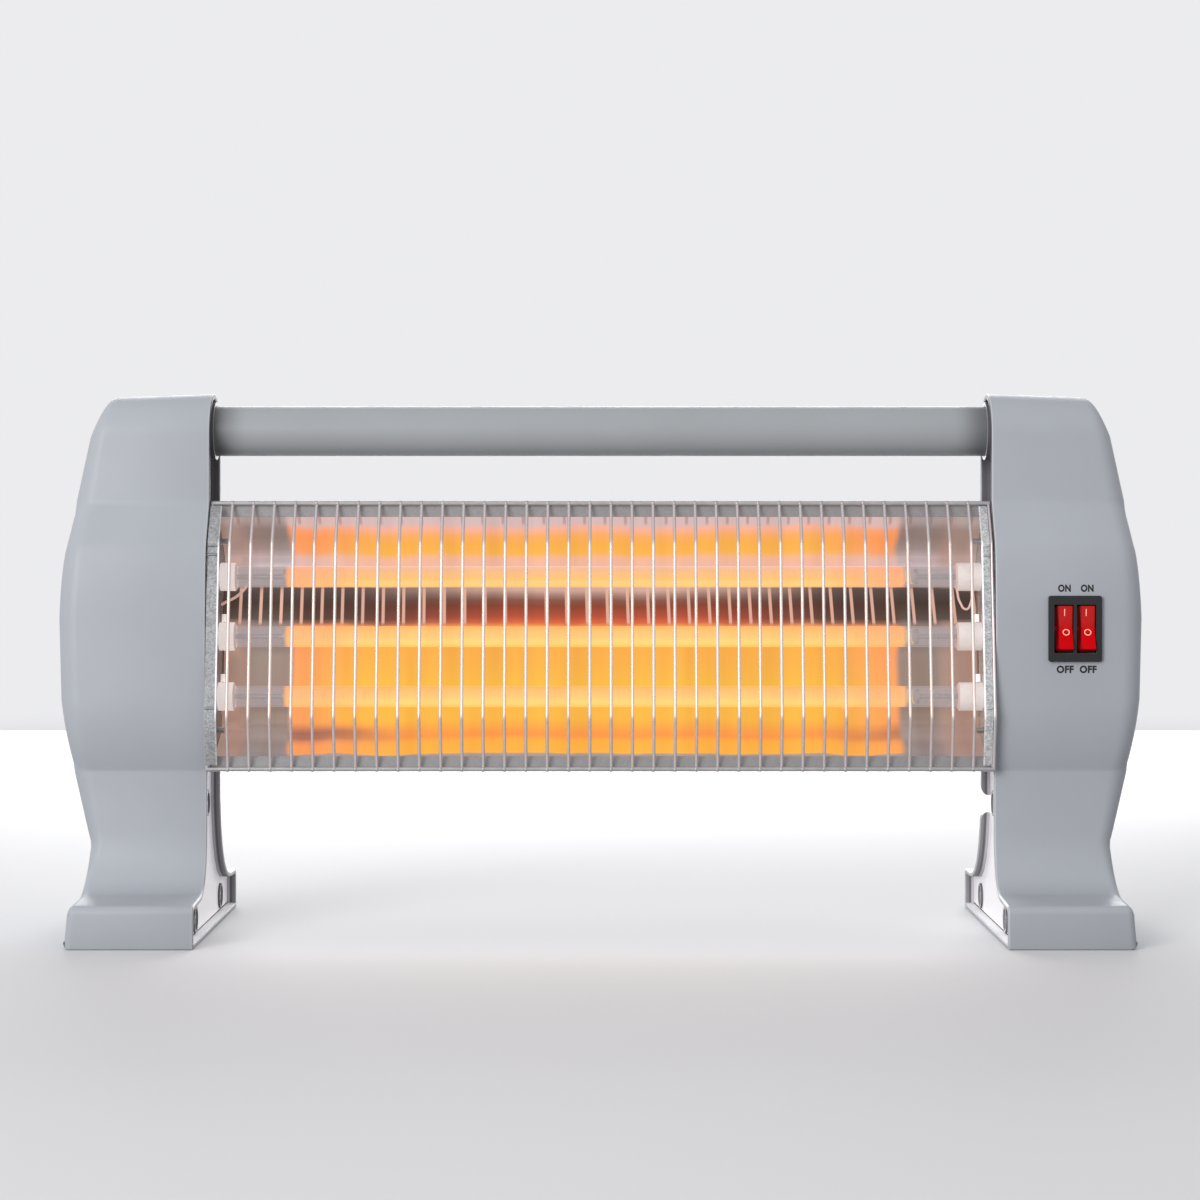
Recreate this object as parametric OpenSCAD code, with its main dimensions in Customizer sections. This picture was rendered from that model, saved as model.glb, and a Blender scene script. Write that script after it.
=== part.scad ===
// Electric bar heater: two moulded end caps on broad feet carry a tilted
// sheet-metal housing with three quartz bars behind a wire guard, and a round
// carrying handle above it. The origin is on the floor below the middle of the
// heater, +X points to the switch side, -Y is the front and +Z is up.

/* [Overall] */
// Clear width between the inner rims of the two end caps
span_w = 371; // [350:1:400]
// Width of one end cap at its widest, from rim to outer wall
cap_w = 70.5; // [66:0.5:76]
// Backward lean of the housing, in degrees
tilt = 8.4; // [6:0.1:10]

/* [End cap profile] */
// Wall of the moulded end caps
wall = 2.5; // [2:0.1:2.9]
// How far each foot reaches forward and back from the middle
foot_reach = 78; // [74:1:86]
// Height of the toe and of the heel
toe_h = 20; // [18:0.5:24]
// Radius of the top corner of toe and heel
toe_r = 4; // [3.6:0.1:6]
// Where the toe's flat top ends, ahead of the middle
toe_root = 50; // [46:1:56]
// Where the heel's flat top ends, behind the middle
heel_root = 58; // [54:1:64]
// Distance of the ankle's front ahead of the middle
ankle_y = 31; // [28:0.5:33]
// Height at which the ankle's front begins to sweep into the toe
ankle_z = 50; // [46:1:56]
// Height at which the back wall begins to sweep into the heel
calf_z = 62; // [58:1:70]
// Distance of the lower crease ahead of the middle
low_crease_y = 30; // [28:0.5:32]
// Height of the lower crease under the belly
low_crease_z = 78; // [74:1:82]
// Distance of the belly's front ahead of the middle
belly_y = 36; // [34:0.5:38]
// Height at which the belly's flat front begins
belly_low_z = 112; // [106:1:118]
// Height at which the belly's flat front ends
belly_top_z = 150; // [144:1:156]
// Distance of the shoulder ahead of the middle
shoulder_y = 32; // [30:0.5:33]
// Height of the shoulder
shoulder_z = 186.7; // [182:0.5:190]
// Height of the upper crease
top_crease_z = 204; // [200:1:208]
// Radius of the arch at the top, which is also half the cap's depth there
arch_r = 20; // [19:0.5:21]
// Place of the arch's centre, from the middle towards the back
arch_y = -2; // [-4:0.5:0]
// Height of the arch's centre
arch_z = 237; // [230:1:244]
// Height at which the outer wall bows out furthest
bow_mid = 138; // [130:1:146]
// Radius of the outer wall's bow above that height, seen from the front
bow_r = 390; // [360:5:450]
// Radius of the outer wall's bow below that height
bow_low_r = 300; // [280:5:400]
// Height below which the outer wall turns out again towards the foot
waist_z = 44; // [38:1:48]
// How far the outer wall turns out again at the floor
foot_flare = 3.8; // [0:0.1:5]
// Edge radius of the outer wall at the foot
foot_edge_r = 3.5; // [3:0.1:3.6]
// Edge radius of the outer wall on the body
body_edge_r = 10; // [6:0.5:12]
// Edge radius of the outer wall at the crown
crown_edge_r = 7; // [6:0.5:12]
// Fall of the crest from the inner rim to the outer edge
crest_fall = 2.4; // [0:0.1:3]

/* [Inner panels] */
// Depth of the inner panel behind the rim
panel_in = 4.5; // [4:0.1:6]
// Thickness of the inner panel
panel_t = 2.5; // [2:0.1:3]
// Gap between the inner panel and the cap's wall
panel_gap = 0.4; // [0.3:0.05:0.6]
// Radius of the recess round a panel screw
recess_r = 5; // [4.4:0.1:5.4]
// Width of the raised rim round a recess
recess_rim = 1.2; // [0.8:0.1:1.6]
// Height of the raised rim round a recess
recess_rim_h = 1; // [0.6:0.1:1.4]
// Depth of the recess below the panel's face
recess_depth = 1.2; // [0.8:0.1:1.4]

/* [Handle] */
// Outer radius of the handle tube
handle_r = 12; // [11:0.25:13]
// Wall of the handle tube
handle_wall = 1.5; // [1:0.1:2.5]
// Height of the handle's axis above the arch's centre
handle_rise = 2.2; // [0:0.2:2.6]
// How far the handle tube reaches into each cap, past the rim
handle_in = 19.5; // [17:0.5:24]
// Length of the plug in each end of the handle tube
plug_len = 17; // [15:0.5:18]
// Wall of the plug
plug_wall = 3.5; // [3:0.1:4]
// Thickness of the plug's flange outside the tube
plug_flange_t = 2.5; // [2:0.1:3]
// Wall of the sleeve that holds the handle tube
sleeve_wall = 1.8; // [1.4:0.1:2]
// How far the sleeve's collar stands proud of the inner panel
collar_proud = 3; // [2:0.5:3.5]

/* [Housing] */
// Distance of the housing's lip plane ahead of the middle, at its centre
lip_y = 25.75; // [24:0.25:27]
// Height of the centre of the housing's lip plane
lip_z = 141.5; // [138:0.5:145]
// Half the height of the housing's front
housing_half_h = 64; // [62:0.5:65]
// Height of the folded front lips
lip_h = 7; // [5:0.5:9]
// Depth of the housing from lip to back
housing_d = 36.5; // [35:0.5:38]
// Depth of the housing at which its back corners begin
corner_d = 24; // [20:0.5:28]
// Half the height of the housing's flat back
back_half_h = 48; // [44:1:54]
// Thickness of the housing's sheet
sheet_t = 0.8; // [0.6:0.1:1]
// Depth of the reflector from lip plane to back
reflector_d = 33; // [31:0.5:34]
// Half the height of the reflector's flat back
reflector_half_h = 42; // [40:0.5:44]
// Thickness of the reflector's sheet
reflector_t = 0.5; // [0.4:0.1:0.8]
// Gap between the inner rim of a cap and the outer face of an end plate
plate_rim_gap = 1.8; // [1.7:0.1:2.4]
// Width of the flange at the front of an end plate
flange_w = 3.2; // [2.4:0.2:4]
// Length of one cooling slot in the back
slot_len = 26; // [20:1:30]
// Height of one cooling slot in the back
slot_h = 3; // [2:0.5:4]
// Number of cooling slots in a row
slot_count = 8; // [4:1:8]

/* [Guard] */
// Pitch of the guard's upright wires
guard_pitch = 10; // [9:0.5:12]
// Radius of the guard's upright wires
guard_wire_r = 0.75; // [0.6:0.05:0.9]
// Radius of the guard's top and bottom rods
guard_rod_r = 1.1; // [1:0.05:1.3]
// How far the guard's front stands ahead of the lip plane
guard_out = 10; // [8:0.5:11]
// Height of the upper bend above the housing's centre
guard_bend_top = 43; // [40:0.5:46]
// Depth of the lower bend below the housing's centre
guard_bend_low = 39.5; // [37:0.5:46]
// Radius of the bends of the guard's upright wires
guard_bend_r = 6; // [4:0.5:10]

/* [Heating bars] */
// Outer radius of a quartz tube
quartz_r = 5; // [4.6:0.1:5.4]
// Wall of a quartz tube
quartz_wall = 1; // [0.8:0.1:1.2]
// Spacing of the quartz tubes
bar_pitch = 28.9; // [26:0.1:30]
// Height of the middle bar above the housing's centre
bar_mid_u = 1.9; // [0:0.1:3]
// Depth of the bars behind the lip plane
bar_v = 20; // [18:0.5:22]
// Length of a heating coil
heated_len = 300; // [270:5:310]
// Number of curls of a heating coil
coil_turns = 30; // [20:1:30]
// Radius of the resistance wire
coil_wire_r = 0.5; // [0.4:0.05:0.6]
// Gap between a coil and the inside of its tube
coil_gap = 0.3; // [0.2:0.05:0.6]
// Outer radius of a ceramic cap
ceramic_r = 6.8; // [6.4:0.1:7.4]
// Length of a ceramic cap inside the housing
ceramic_len = 11; // [9:0.5:13]
// Radius of a ceramic cap's neck
neck_r = 4.5; // [4:0.1:5]
// Radius of a terminal pin
pin_r = 1.2; // [1:0.1:1.4]
// Radius of a link wire
link_r = 0.4; // [0.3:0.05:0.5]
// Radius of a white bead on a link wire
bead_r = 1.1; // [0.9:0.1:1.4]
// Length of a white bead on a link wire
bead_len = 3.6; // [3:0.2:4.4]

/* [Switch] */
// Distance of the switch's centre from the cap's inner rim
switch_in = 37.2; // [35:0.5:40]
// Height of the switch's centre
switch_z = 145.1; // [138:0.5:148]
// Width of the switch's bezel
bezel_w = 25; // [24:0.5:27]
// Height of the switch's bezel
bezel_h = 31; // [30:0.5:33]
// How far the bezel stands proud of the cap
bezel_proud = 2; // [1.6:0.1:2.6]
// Width of one rocker
rocker_w = 8.6; // [8:0.1:9]
// Radius of a rocker's round ends about its pivot
rocker_r = 11; // [10.4:0.1:11.4]
// Bar between the two rockers
rocker_bar = 2; // [1.8:0.1:2.4]
// Tilt of a rocker either side of its middle position, in degrees
rocker_tilt = 9; // [7:0.5:10]
// Depth of the switch's body behind the cap's front
switch_d = 16; // [14:0.5:18]

/* [Cord outlet] */
// Height of the middle of the cord outlet in the right back wall
outlet_z = 58.2; // [57:0.2:60]
// Height of the cord outlet
outlet_h = 8.4; // [7:0.2:9]
// Depth of the cord outlet from the rim
outlet_in = 12; // [10:0.5:14]

/* [Fits and fasteners] */
// Radius of a screw's shank
screw_r = 1.45; // [1.3:0.05:1.6]
// Radius of a screw's head
head_r = 3.2; // [2.8:0.1:3.6]
// Height of a screw's head
head_h = 1.8; // [1.4:0.1:2.2]
// Wall of a screw boss round its pilot hole
boss_wall = 2.1; // [1.6:0.1:2.4]
// Length of an inner panel's screw under its head
panel_screw_len = 12; // [10:0.5:14]
// Length of a housing screw under its head
housing_screw_len = 14; // [12:0.5:16]
// Length of a handle screw under its head
handle_screw_len = 5; // [4:0.5:6]
// Radial gap of a screw's shank in its pilot hole
pilot_gap = 0.05; // [0.03:0.01:0.1]
// Radial gap of a pin that turns in its bore
running_gap = 0.06; // [0.03:0.01:0.09]
// Gap between pieces that don't touch
clearance = 0.3; // [0.2:0.05:0.4]
// Radial gap of a piece that pushes into another
slip_gap = 0.1; // [0.05:0.01:0.15]

/* [Tip-over switch] */
// Distance of the tip-over switch's pivot from the inner panel
tip_in = 14; // [12:0.5:18]
// Height of the tip-over switch's pivot
tip_z = 46; // [44:0.5:48]
// Length of the pendulum from its pivot to the middle of its weight
tip_len = 24; // [20:0.5:26]
// Radius of the pendulum's weight
tip_weight_r = 6; // [5:0.5:7]
// Radius of the pendulum's axle
tip_axle_r = 1.5; // [1.2:0.1:2]

/* [Hidden] */
$fn = 48;

cap_grey = [0.66, 0.68, 0.72];
panel_grey = [0.82, 0.82, 0.84];
zinc_grey = [0.66, 0.69, 0.71];
steel_grey = [0.78, 0.78, 0.8];
white_clay = [0.94, 0.92, 0.9];

rim_x = span_w / 2;
belly_x = rim_x + cap_w;
back_y = arch_y + arch_r;
panel_x = rim_x + panel_in;
panel_back_x = panel_x + panel_t;
pilot_r = screw_r + pilot_gap;
clear_r = screw_r + clearance;
boss_r = pilot_r + boss_wall;
eps = 0.01;

// Segments of the curved stretches of a cap's profile and of its rounded edge
corner_n = 3;
sweep_n = 6;
belly_n = 4;
arch_n = 7;
edge_n = 4;

// ---- lines and offsets ----

function unit(v) = v / norm(v);
function reversed(l) = [for (i = [len(l) - 1 : -1 : 0]) l[i]];
function arc_line(c, r, from, to, n) =
  [for (i = [0 : n]) let (a = from + (to - from) * i / n) c + r * [cos(a), sin(a)]];
function bend_line(p, q, s, n) =
  [for (i = [0 : n]) let (t = i / n) (1 - t) * (1 - t) * p + 2 * t * (1 - t) * q + t * t * s];

// Mitre vector at a corner between two directions, to the right of the way
function mitre(d1, d2) =
  let (n1 = [d1[1], -d1[0]], n2 = [d2[1], -d2[0]]) (n1 + n2) / (1 + n1 * n2);

// Open line moved sideways by d, to the right of the way when d is positive
function side_line(l, d) =
  [for (i = [0 : len(l) - 1])
    let (
      d1 = unit(l[max(i, 1)] - l[max(i, 1) - 1]),
      d2 = unit(l[min(i, len(l) - 2) + 1] - l[min(i, len(l) - 2)])
    )
    l[i] + d * mitre(d1, d2)];

// Outline of a sheet of thickness t bent along an open line
function strip(l, t) = concat(side_line(l, t / 2), reversed(side_line(l, -t / 2)));

// Triangles of a closed tube of n rings, each of the given number of sides
function tube_faces(n, sides) = concat(
  [for (i = [0 : n - 2]) for (j = [0 : sides - 1])
    let (a = i * sides + j, b = i * sides + (j + 1) % sides)
    each [[a, a + sides, b + sides], [a, b + sides, b]]],
  [for (j = [1 : sides - 2]) [0, j, j + 1]],
  [for (j = [1 : sides - 2]) let (e = (n - 1) * sides) [e, e + j + 1, e + j]]
);

// ---- profile of an end cap, seen from the side ----

// The front and back lines run from the floor up, and have their points in pairs
front_low = concat(
  [[-foot_reach, 0]],
  arc_line([-foot_reach + toe_r, toe_h - toe_r], toe_r, 180, 90, corner_n),
  bend_line([-toe_root, toe_h + 1.3], [-ankle_y - 1, toe_h + 4], [-ankle_y, ankle_z], sweep_n)
);
back_low = concat(
  [[foot_reach, 0]],
  arc_line([foot_reach - toe_r, toe_h - toe_r], toe_r, 0, 90, corner_n),
  bend_line([heel_root, toe_h + 0.5], [back_y + 6, toe_h + 2], [back_y, calf_z], sweep_n)
);
front_body = concat(
  bend_line([-low_crease_y, low_crease_z], [-belly_y, (low_crease_z + belly_low_z) / 2],
    [-belly_y, belly_low_z], belly_n),
  bend_line([-belly_y, belly_top_z], [-belly_y, shoulder_z - 7], [-shoulder_y, shoulder_z],
    belly_n),
  [[arch_y - arch_r, top_crease_z]]
);
back_body = [for (p = front_body) [back_y, p[1]]];
arch_end = 90 - 45 / arch_n;
front_arch = arc_line([arch_y, arch_z], arch_r, 180, 180 - arch_end, arch_n);
back_arch = arc_line([arch_y, arch_z], arch_r, 0, arch_end, arch_n);
half_n = len(front_low) + len(front_body) + len(front_arch);
ring_n = 2 * half_n;
cap_ring = concat(front_low, front_body, front_arch,
  reversed(concat(back_low, back_body, back_arch)));
cap_mitres = [for (i = [0 : ring_n - 1])
  mitre(unit(cap_ring[i] - cap_ring[(i + ring_n - 1) % ring_n]),
    unit(cap_ring[(i + 1) % ring_n] - cap_ring[i]))];

// The profile moved inwards by d
function inset_ring(d) = [for (i = [0 : ring_n - 1]) cap_ring[i] + d * cap_mitres[i]];

// Place of the outer wall at height z
function outer_x(z) =
  let (r = z < bow_mid ? bow_low_r : bow_r)
  belly_x - r + sqrt(r * r - pow(max(z, waist_z) - bow_mid, 2))
  + foot_flare * max(0, waist_z - z) / waist_z;

// How far height z lies up the arch at the top, from 0 to 1
function crown_share(z) = max(0, (z - top_crease_z) / (arch_z + arch_r - top_crease_z));

// Edge radius of the outer wall at height z
function edge_r(z) =
  foot_edge_r + (body_edge_r - foot_edge_r) * min(1, max(0, (z - toe_h - 4) / (waist_z - 2)))
  - (body_edge_r - crown_edge_r) * crown_share(z);

// One point of the cap's skin: profile point i, station s from the rim, depth w in the wall
function skin_point(i, s, w) =
  let (
    p = cap_ring[i],
    r = edge_r(p[1]),
    a = 90 * (s - 1) / edge_n,
    inset = s == 0 ? w : w + (r - w) * (1 - cos(a)),
    x = s == 0 ? rim_x : outer_x(p[1]) - r + (r - w) * sin(a),
    q = p + inset * cap_mitres[i],
    fall = crest_fall * crown_share(p[1]) * (x - rim_x) / cap_w
  )
  [x, q[0], q[1] - fall];

// Open shell of one end cap on the +X side, as an outer and an inner skin
module cap_skin() {
  stations = edge_n + 2;
  skin_n = stations * ring_n;
  points = [for (w = [0, wall]) for (s = [0 : stations - 1]) for (i = [0 : ring_n - 1])
    skin_point(i, s, w)];
  function at(k, s, i) = k * skin_n + s * ring_n + i % ring_n;
  function quad(a, b, c, d) = [[a, b, c], [a, c, d]];
  outer = [for (s = [0 : stations - 2]) for (i = [0 : ring_n - 1])
    each quad(at(0, s, i), at(0, s, i + 1), at(0, s + 1, i + 1), at(0, s + 1, i))];
  inner = [for (s = [0 : stations - 2]) for (i = [0 : ring_n - 1])
    each quad(at(1, s, i), at(1, s + 1, i), at(1, s + 1, i + 1), at(1, s, i + 1))];
  rim = [for (i = [0 : ring_n - 1])
    each quad(at(0, 0, i + 1), at(0, 0, i), at(1, 0, i), at(1, 0, i + 1))];
  last = stations - 1;
  side = [for (i = [0 : half_n - 2])
    each quad(at(0, last, i), at(0, last, i + 1),
      at(0, last, ring_n - 2 - i), at(0, last, ring_n - 1 - i))];
  floor = [for (i = [0 : half_n - 2])
    each quad(at(1, last, i), at(1, last, ring_n - 1 - i),
      at(1, last, ring_n - 2 - i), at(1, last, i + 1))];
  polyhedron(points = points, faces = concat(outer, inner, rim, side, floor), convexity = 6);
}

// ---- shared building blocks ----

// Children drawn on the +X side, or mirrored to the -X side
module on_side(s) {
  if (s > 0) children();
  else mirror([1, 0, 0]) children();
}

// Cylinder along +X from x0 to x1 at the given Y and Z
module x_rod(x0, x1, r, at = [0, 0]) {
  translate([x0, at[0], at[1]]) rotate([0, 90, 0]) cylinder(h = x1 - x0, r = r);
}

// Prism along +X from x0 to x1 with its outline in Y and Z
module x_prism(x0, x1, outline) {
  translate([x0, 0, 0]) rotate([90, 0, 90]) linear_extrude(x1 - x0) polygon(outline);
}

// Box between two corners
module box(low, high) {
  translate(low) cube(high - low);
}

// Straight round rod between two points
module rod_between(p, q, r) {
  d = q - p;
  translate(p) rotate([0, acos(d[2] / norm(d)), atan2(d[1], d[0])]) cylinder(h = norm(d), r = r);
}

// Insulated lead along a line of points
module lead(points, r) {
  for (i = [0 : len(points) - 2]) rod_between(points[i], points[i + 1], r);
  for (i = [1 : len(points) - 2]) translate(points[i]) sphere(r = r * 1.02);
}

// Pan-head screw along +X, its head's seat at x, its tip at x + len
module screw(x, len, at) {
  x_rod(x, x + len, screw_r, at);
  x_rod(x - head_h, x, head_r, at);
}

// Frame of the tilted housing: X as before, Y into the housing, Z up its front
module in_housing() {
  translate([0, -lip_y, lip_z]) rotate([-tilt, 0, 0]) children();
}

// Where a point of the tilted housing lies in Y and Z
function placed(p) =
  [-lip_y + p[0] * cos(tilt) + p[1] * sin(tilt), lip_z - p[0] * sin(tilt) + p[1] * cos(tilt)];

// ---- places shared between pieces ----

panel_screw_ends = [[-41, 9.2], [47, 9.6], [0, 60], [-2, 213]];
housing_screw_ends = [[10, 46.5], [10, -44]];
handle_at = [arch_y, arch_z + handle_rise];
handle_end_x = rim_x + handle_in;
sleeve_end_x = handle_end_x - clearance;
sleeve_r = handle_r + slip_gap + sleeve_wall;
handle_screw_x = panel_back_x + 6;
plate_x = rim_x - plate_rim_gap;
plate_in_x = plate_x - sheet_t;
sheet_end_x = plate_in_x - clearance;
bars = [for (i = [1, 0, -1]) [bar_v, bar_mid_u + i * bar_pitch]];
tube_bore_r = quartz_r + slip_gap;
ceramic_in_x = plate_in_x - ceramic_len;
tube_end_x = ceramic_in_x + 6;
neck_end_x = panel_x - 1.5;
coil_r = quartz_r - quartz_wall - coil_gap - coil_wire_r;
coil_end_x = heated_len / 2 + 2 * coil_wire_r;
pin_head_t = 1.5;
pin_end_x = panel_back_x + 5;
link_x = plate_in_x - 2;
clip_t = 0.6;
wire_hole_r = 5.5;

// ---- end caps ----

// Hollow of the cord outlet: a slot from the rim with a flared mouth and a round end
module outlet_cut() {
  round_r = outlet_h / 2;
  y0 = back_y - wall - 2;
  translate([0, y0, 0]) rotate([-90, 0, 0]) linear_extrude(wall + 4) union() {
    translate([rim_x + outlet_in - round_r, -outlet_z]) circle(r = round_r);
    translate([rim_x - 1, -outlet_z - round_r]) square([outlet_in - round_r + 1, outlet_h]);
    polygon([[rim_x - 1, -outlet_z - round_r - 4.5], [rim_x + 3.5, -outlet_z - round_r],
      [rim_x + 3.5, -outlet_z + round_r], [rim_x - 1, -outlet_z + round_r + 4.5]]);
  }
}

// Boss inside the cap, from the inner panel to the outer wall
module cap_boss(at) {
  x_rod(panel_back_x, outer_x(at[1]) - wall / 2, boss_r, at);
}

module end_shell() {
  difference() {
    union() {
      cap_skin();
      for (at = panel_screw_ends) cap_boss(at);
    }
    for (at = panel_screw_ends) x_rod(panel_back_x - 1, panel_back_x + panel_screw_len + 1, pilot_r, at);
  }
}

module left_end_shell() {
  color(cap_grey) on_side(-1) end_shell();
}

module right_end_shell() {
  color(cap_grey) difference() {
    end_shell();
    outlet_cut();
    box([switch_x - switch_w / 2 - slip_gap, -belly_y - 1, switch_z - switch_h / 2 - slip_gap],
      [switch_x + switch_w / 2 + slip_gap, -belly_y + wall + 3, switch_z + switch_h / 2 + slip_gap]);
  }
}

// ---- inner panels ----

module inner_panel(with_outlet) {
  difference() {
    union() {
      x_prism(panel_x, panel_back_x, inset_ring(wall + panel_gap));
      for (at = panel_screw_ends) x_rod(panel_x - recess_rim_h, panel_x + eps, recess_r + recess_rim, at);
      for (p = housing_screw_ends) x_rod(plate_x, panel_x + eps, boss_r + 1, placed(p));
      x_rod(panel_x - collar_proud, sleeve_end_x, sleeve_r, handle_at);
    }
    for (at = panel_screw_ends) {
      x_rod(panel_x - recess_rim_h - 1, panel_x + recess_depth, recess_r, at);
      x_rod(panel_x, panel_back_x + 1, clear_r, at);
    }
    for (p = housing_screw_ends) x_rod(plate_x - 1, panel_back_x + 1, clear_r, placed(p));
    for (p = bars) x_rod(panel_x - 1, panel_back_x + 1, wire_hole_r, placed(p));
    x_rod(panel_x - 1, panel_back_x + 1, return_r + clearance, placed(return_at));
    x_rod(panel_x - collar_proud - 1, sleeve_end_x + 1, handle_r + slip_gap, handle_at);
    translate([handle_screw_x, handle_at[0], handle_at[1] - sleeve_r - 1])
      cylinder(h = sleeve_wall + 2.5, r = head_r + clearance);
    if (with_outlet)
      box([panel_x - 1, back_y - wall - panel_gap - 6, outlet_z - outlet_h / 2],
        [panel_back_x + 1, back_y, outlet_z + outlet_h / 2]);
  }
}

module left_inner_panel() {
  color(panel_grey) on_side(-1) inner_panel(false);
}

module right_inner_panel() {
  color(panel_grey) inner_panel(true);
}

module panel_screws(s) {
  color(steel_grey) on_side(s)
    for (at = panel_screw_ends) screw(panel_x + recess_depth, panel_screw_len, at);
}

// ---- handle ----

module handle_tube() {
  color(cap_grey) difference() {
    x_rod(-handle_end_x, handle_end_x, handle_r, handle_at);
    x_rod(-handle_end_x - 1, handle_end_x + 1, handle_r - handle_wall, handle_at);
    for (s = [-1, 1]) translate([s * handle_screw_x, handle_at[0], handle_at[1] - handle_r - 1])
      cylinder(h = handle_wall + 2, r = clear_r);
  }
}

module handle_plug() {
  plug_r = handle_r - handle_wall - slip_gap;
  difference() {
    union() {
      x_rod(handle_end_x - plug_len, handle_end_x + eps, plug_r, handle_at);
      x_rod(handle_end_x, handle_end_x + plug_flange_t, sleeve_r, handle_at);
    }
    x_rod(handle_end_x - plug_len - 1, handle_end_x - 2, plug_r - plug_wall, handle_at);
    translate([handle_screw_x, handle_at[0], handle_at[1] - plug_r - 1])
      cylinder(h = plug_wall + 2.5, r = pilot_r);
  }
}

module left_handle_plug() {
  color("dimgray") on_side(-1) handle_plug();
}

module right_handle_plug() {
  color("dimgray") handle_plug();
}

// Screws from below, each with its head's seat on the lowest line of the tube
module handle_screws() {
  seat_z = handle_at[1] - handle_r;
  color(steel_grey) for (s = [-1, 1]) translate([s * handle_screw_x, handle_at[0], seat_z]) {
    translate([0, 0, -head_h]) cylinder(h = head_h, r = head_r);
    cylinder(h = handle_screw_len, r = screw_r);
  }
}

// ---- housing ----

casing_line = [
  [sheet_t / 2, housing_half_h - lip_h], [sheet_t / 2, housing_half_h - sheet_t / 2],
  [corner_d, housing_half_h - sheet_t / 2], [housing_d - sheet_t / 2, back_half_h],
  [housing_d - sheet_t / 2, -back_half_h], [corner_d, -housing_half_h + sheet_t / 2],
  [sheet_t / 2, -housing_half_h + sheet_t / 2], [sheet_t / 2, -housing_half_h + lip_h]
];
reflector_front_u = housing_half_h - sheet_t - 2.2;
reflector_line = [
  [sheet_t + 0.5, reflector_front_u], [reflector_d - reflector_t / 2, reflector_half_h],
  [reflector_d - reflector_t / 2, -reflector_half_h], [sheet_t + 0.5, -reflector_front_u]
];
rivet_r = 1.6;
rivet_x = 0.32 * span_w;
rivet_ends = [for (x = [-rivet_x, rivet_x]) for (u = [-30, 30]) [x, u]];

// Cylinder into the housing's depth, from v0 to v1
module v_rod(v0, v1, r, at) {
  translate([at[0], v0, at[1]]) rotate([-90, 0, 0]) cylinder(h = v1 - v0, r = r);
}

module rivet_holes() {
  for (at = rivet_ends) v_rod(reflector_d - 3, housing_d + 3, rivet_r + pilot_gap, at);
}

module casing() {
  slot_pitch = span_w / (slot_count + 1);
  color(zinc_grey) in_housing() difference() {
    x_prism(-sheet_end_x, sheet_end_x, strip(casing_line, sheet_t));
    rivet_holes();
    for (i = [0 : slot_count - 1]) for (u = [-back_half_h + 6, 0, back_half_h - 6])
      translate([(i - (slot_count - 1) / 2) * slot_pitch - slot_len / 2, housing_d - 2, u - slot_h / 2])
        cube([slot_len, 4, slot_h]);
  }
}

module reflector() {
  color("silver") in_housing() difference() {
    x_prism(-sheet_end_x, sheet_end_x, strip(reflector_line, reflector_t));
    rivet_holes();
  }
}

module casing_rivets() {
  rivet_head_h = 0.9;
  color(steel_grey) in_housing() for (at = rivet_ends) {
    v_rod(reflector_d - reflector_t, housing_d, rivet_r, at);
    v_rod(reflector_d - reflector_t - rivet_head_h, reflector_d - reflector_t, rivet_r + 1.2, at);
    v_rod(housing_d, housing_d + rivet_head_h, rivet_r + 1.2, at);
  }
}

// ---- guard ----

rod_v = -guard_rod_r - clearance;
rod_u = housing_half_h - 0.8;
flange_u = rod_u - guard_rod_r - 0.6;
guard_line = [[rod_v, rod_u], [-guard_out, guard_bend_top], [-guard_out, -guard_bend_low], [rod_v, -rod_u]];
end_wire_x = rim_x - clearance / 2 - guard_wire_r;
wire_half_n = floor((end_wire_x - guard_pitch / 2 - 4) / guard_pitch);
wire_places = concat(
  [for (i = [-wire_half_n - 1 : wire_half_n]) (i + 0.5) * guard_pitch], [-end_wire_x, end_wire_x]);

// Depth of the guard's line at height u
function guard_v(u) =
  u > guard_bend_top
    ? -guard_out + (rod_v + guard_out) * (u - guard_bend_top) / (rod_u - guard_bend_top)
    : u < -guard_bend_low
      ? -guard_out + (rod_v + guard_out) * (-guard_bend_low - u) / (rod_u - guard_bend_low)
      : -guard_out;

top_angle = atan((rod_v + guard_out) / (rod_u - guard_bend_top));
low_angle = atan((rod_v + guard_out) / (rod_u - guard_bend_low));
top_bend_at = [guard_bend_r - guard_out, guard_bend_top - guard_bend_r * tan(top_angle / 2)];
low_bend_at = [guard_bend_r - guard_out, -guard_bend_low + guard_bend_r * tan(low_angle / 2)];

wire_sides = 8;
wire_line = concat(
  [[rod_v, rod_u]],
  arc_line(top_bend_at, guard_bend_r, 180 - top_angle, 180, 1),
  arc_line(low_bend_at, guard_bend_r, 180, 180 + low_angle, 1),
  [[rod_v, -rod_u]]
);
wire_edge = side_line(wire_line, guard_wire_r);
wire_points = [for (i = [0 : len(wire_line) - 1]) for (j = [0 : wire_sides - 1])
  let (b = 360 * j / wire_sides, p = wire_line[i] + sin(b) * (wire_edge[i] - wire_line[i]))
  [guard_wire_r * cos(b), p[0], p[1]]];

// Upright wire, swept along its line in the housing's depth and height
module guard_wire(x) {
  translate([x, 0, 0])
    polyhedron(points = wire_points, faces = tube_faces(len(wire_line), wire_sides), convexity = 4);
}

module guard_wires() {
  color(steel_grey) in_housing() for (x = wire_places) guard_wire(x);
}

module guard_rods() {
  color(steel_grey) in_housing() for (s = [-1, 1])
    x_rod(-rim_x + clearance, rim_x - clearance, guard_rod_r, [rod_v, s * rod_u]);
}

ridge_r = sheet_t - 0.1;

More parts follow.
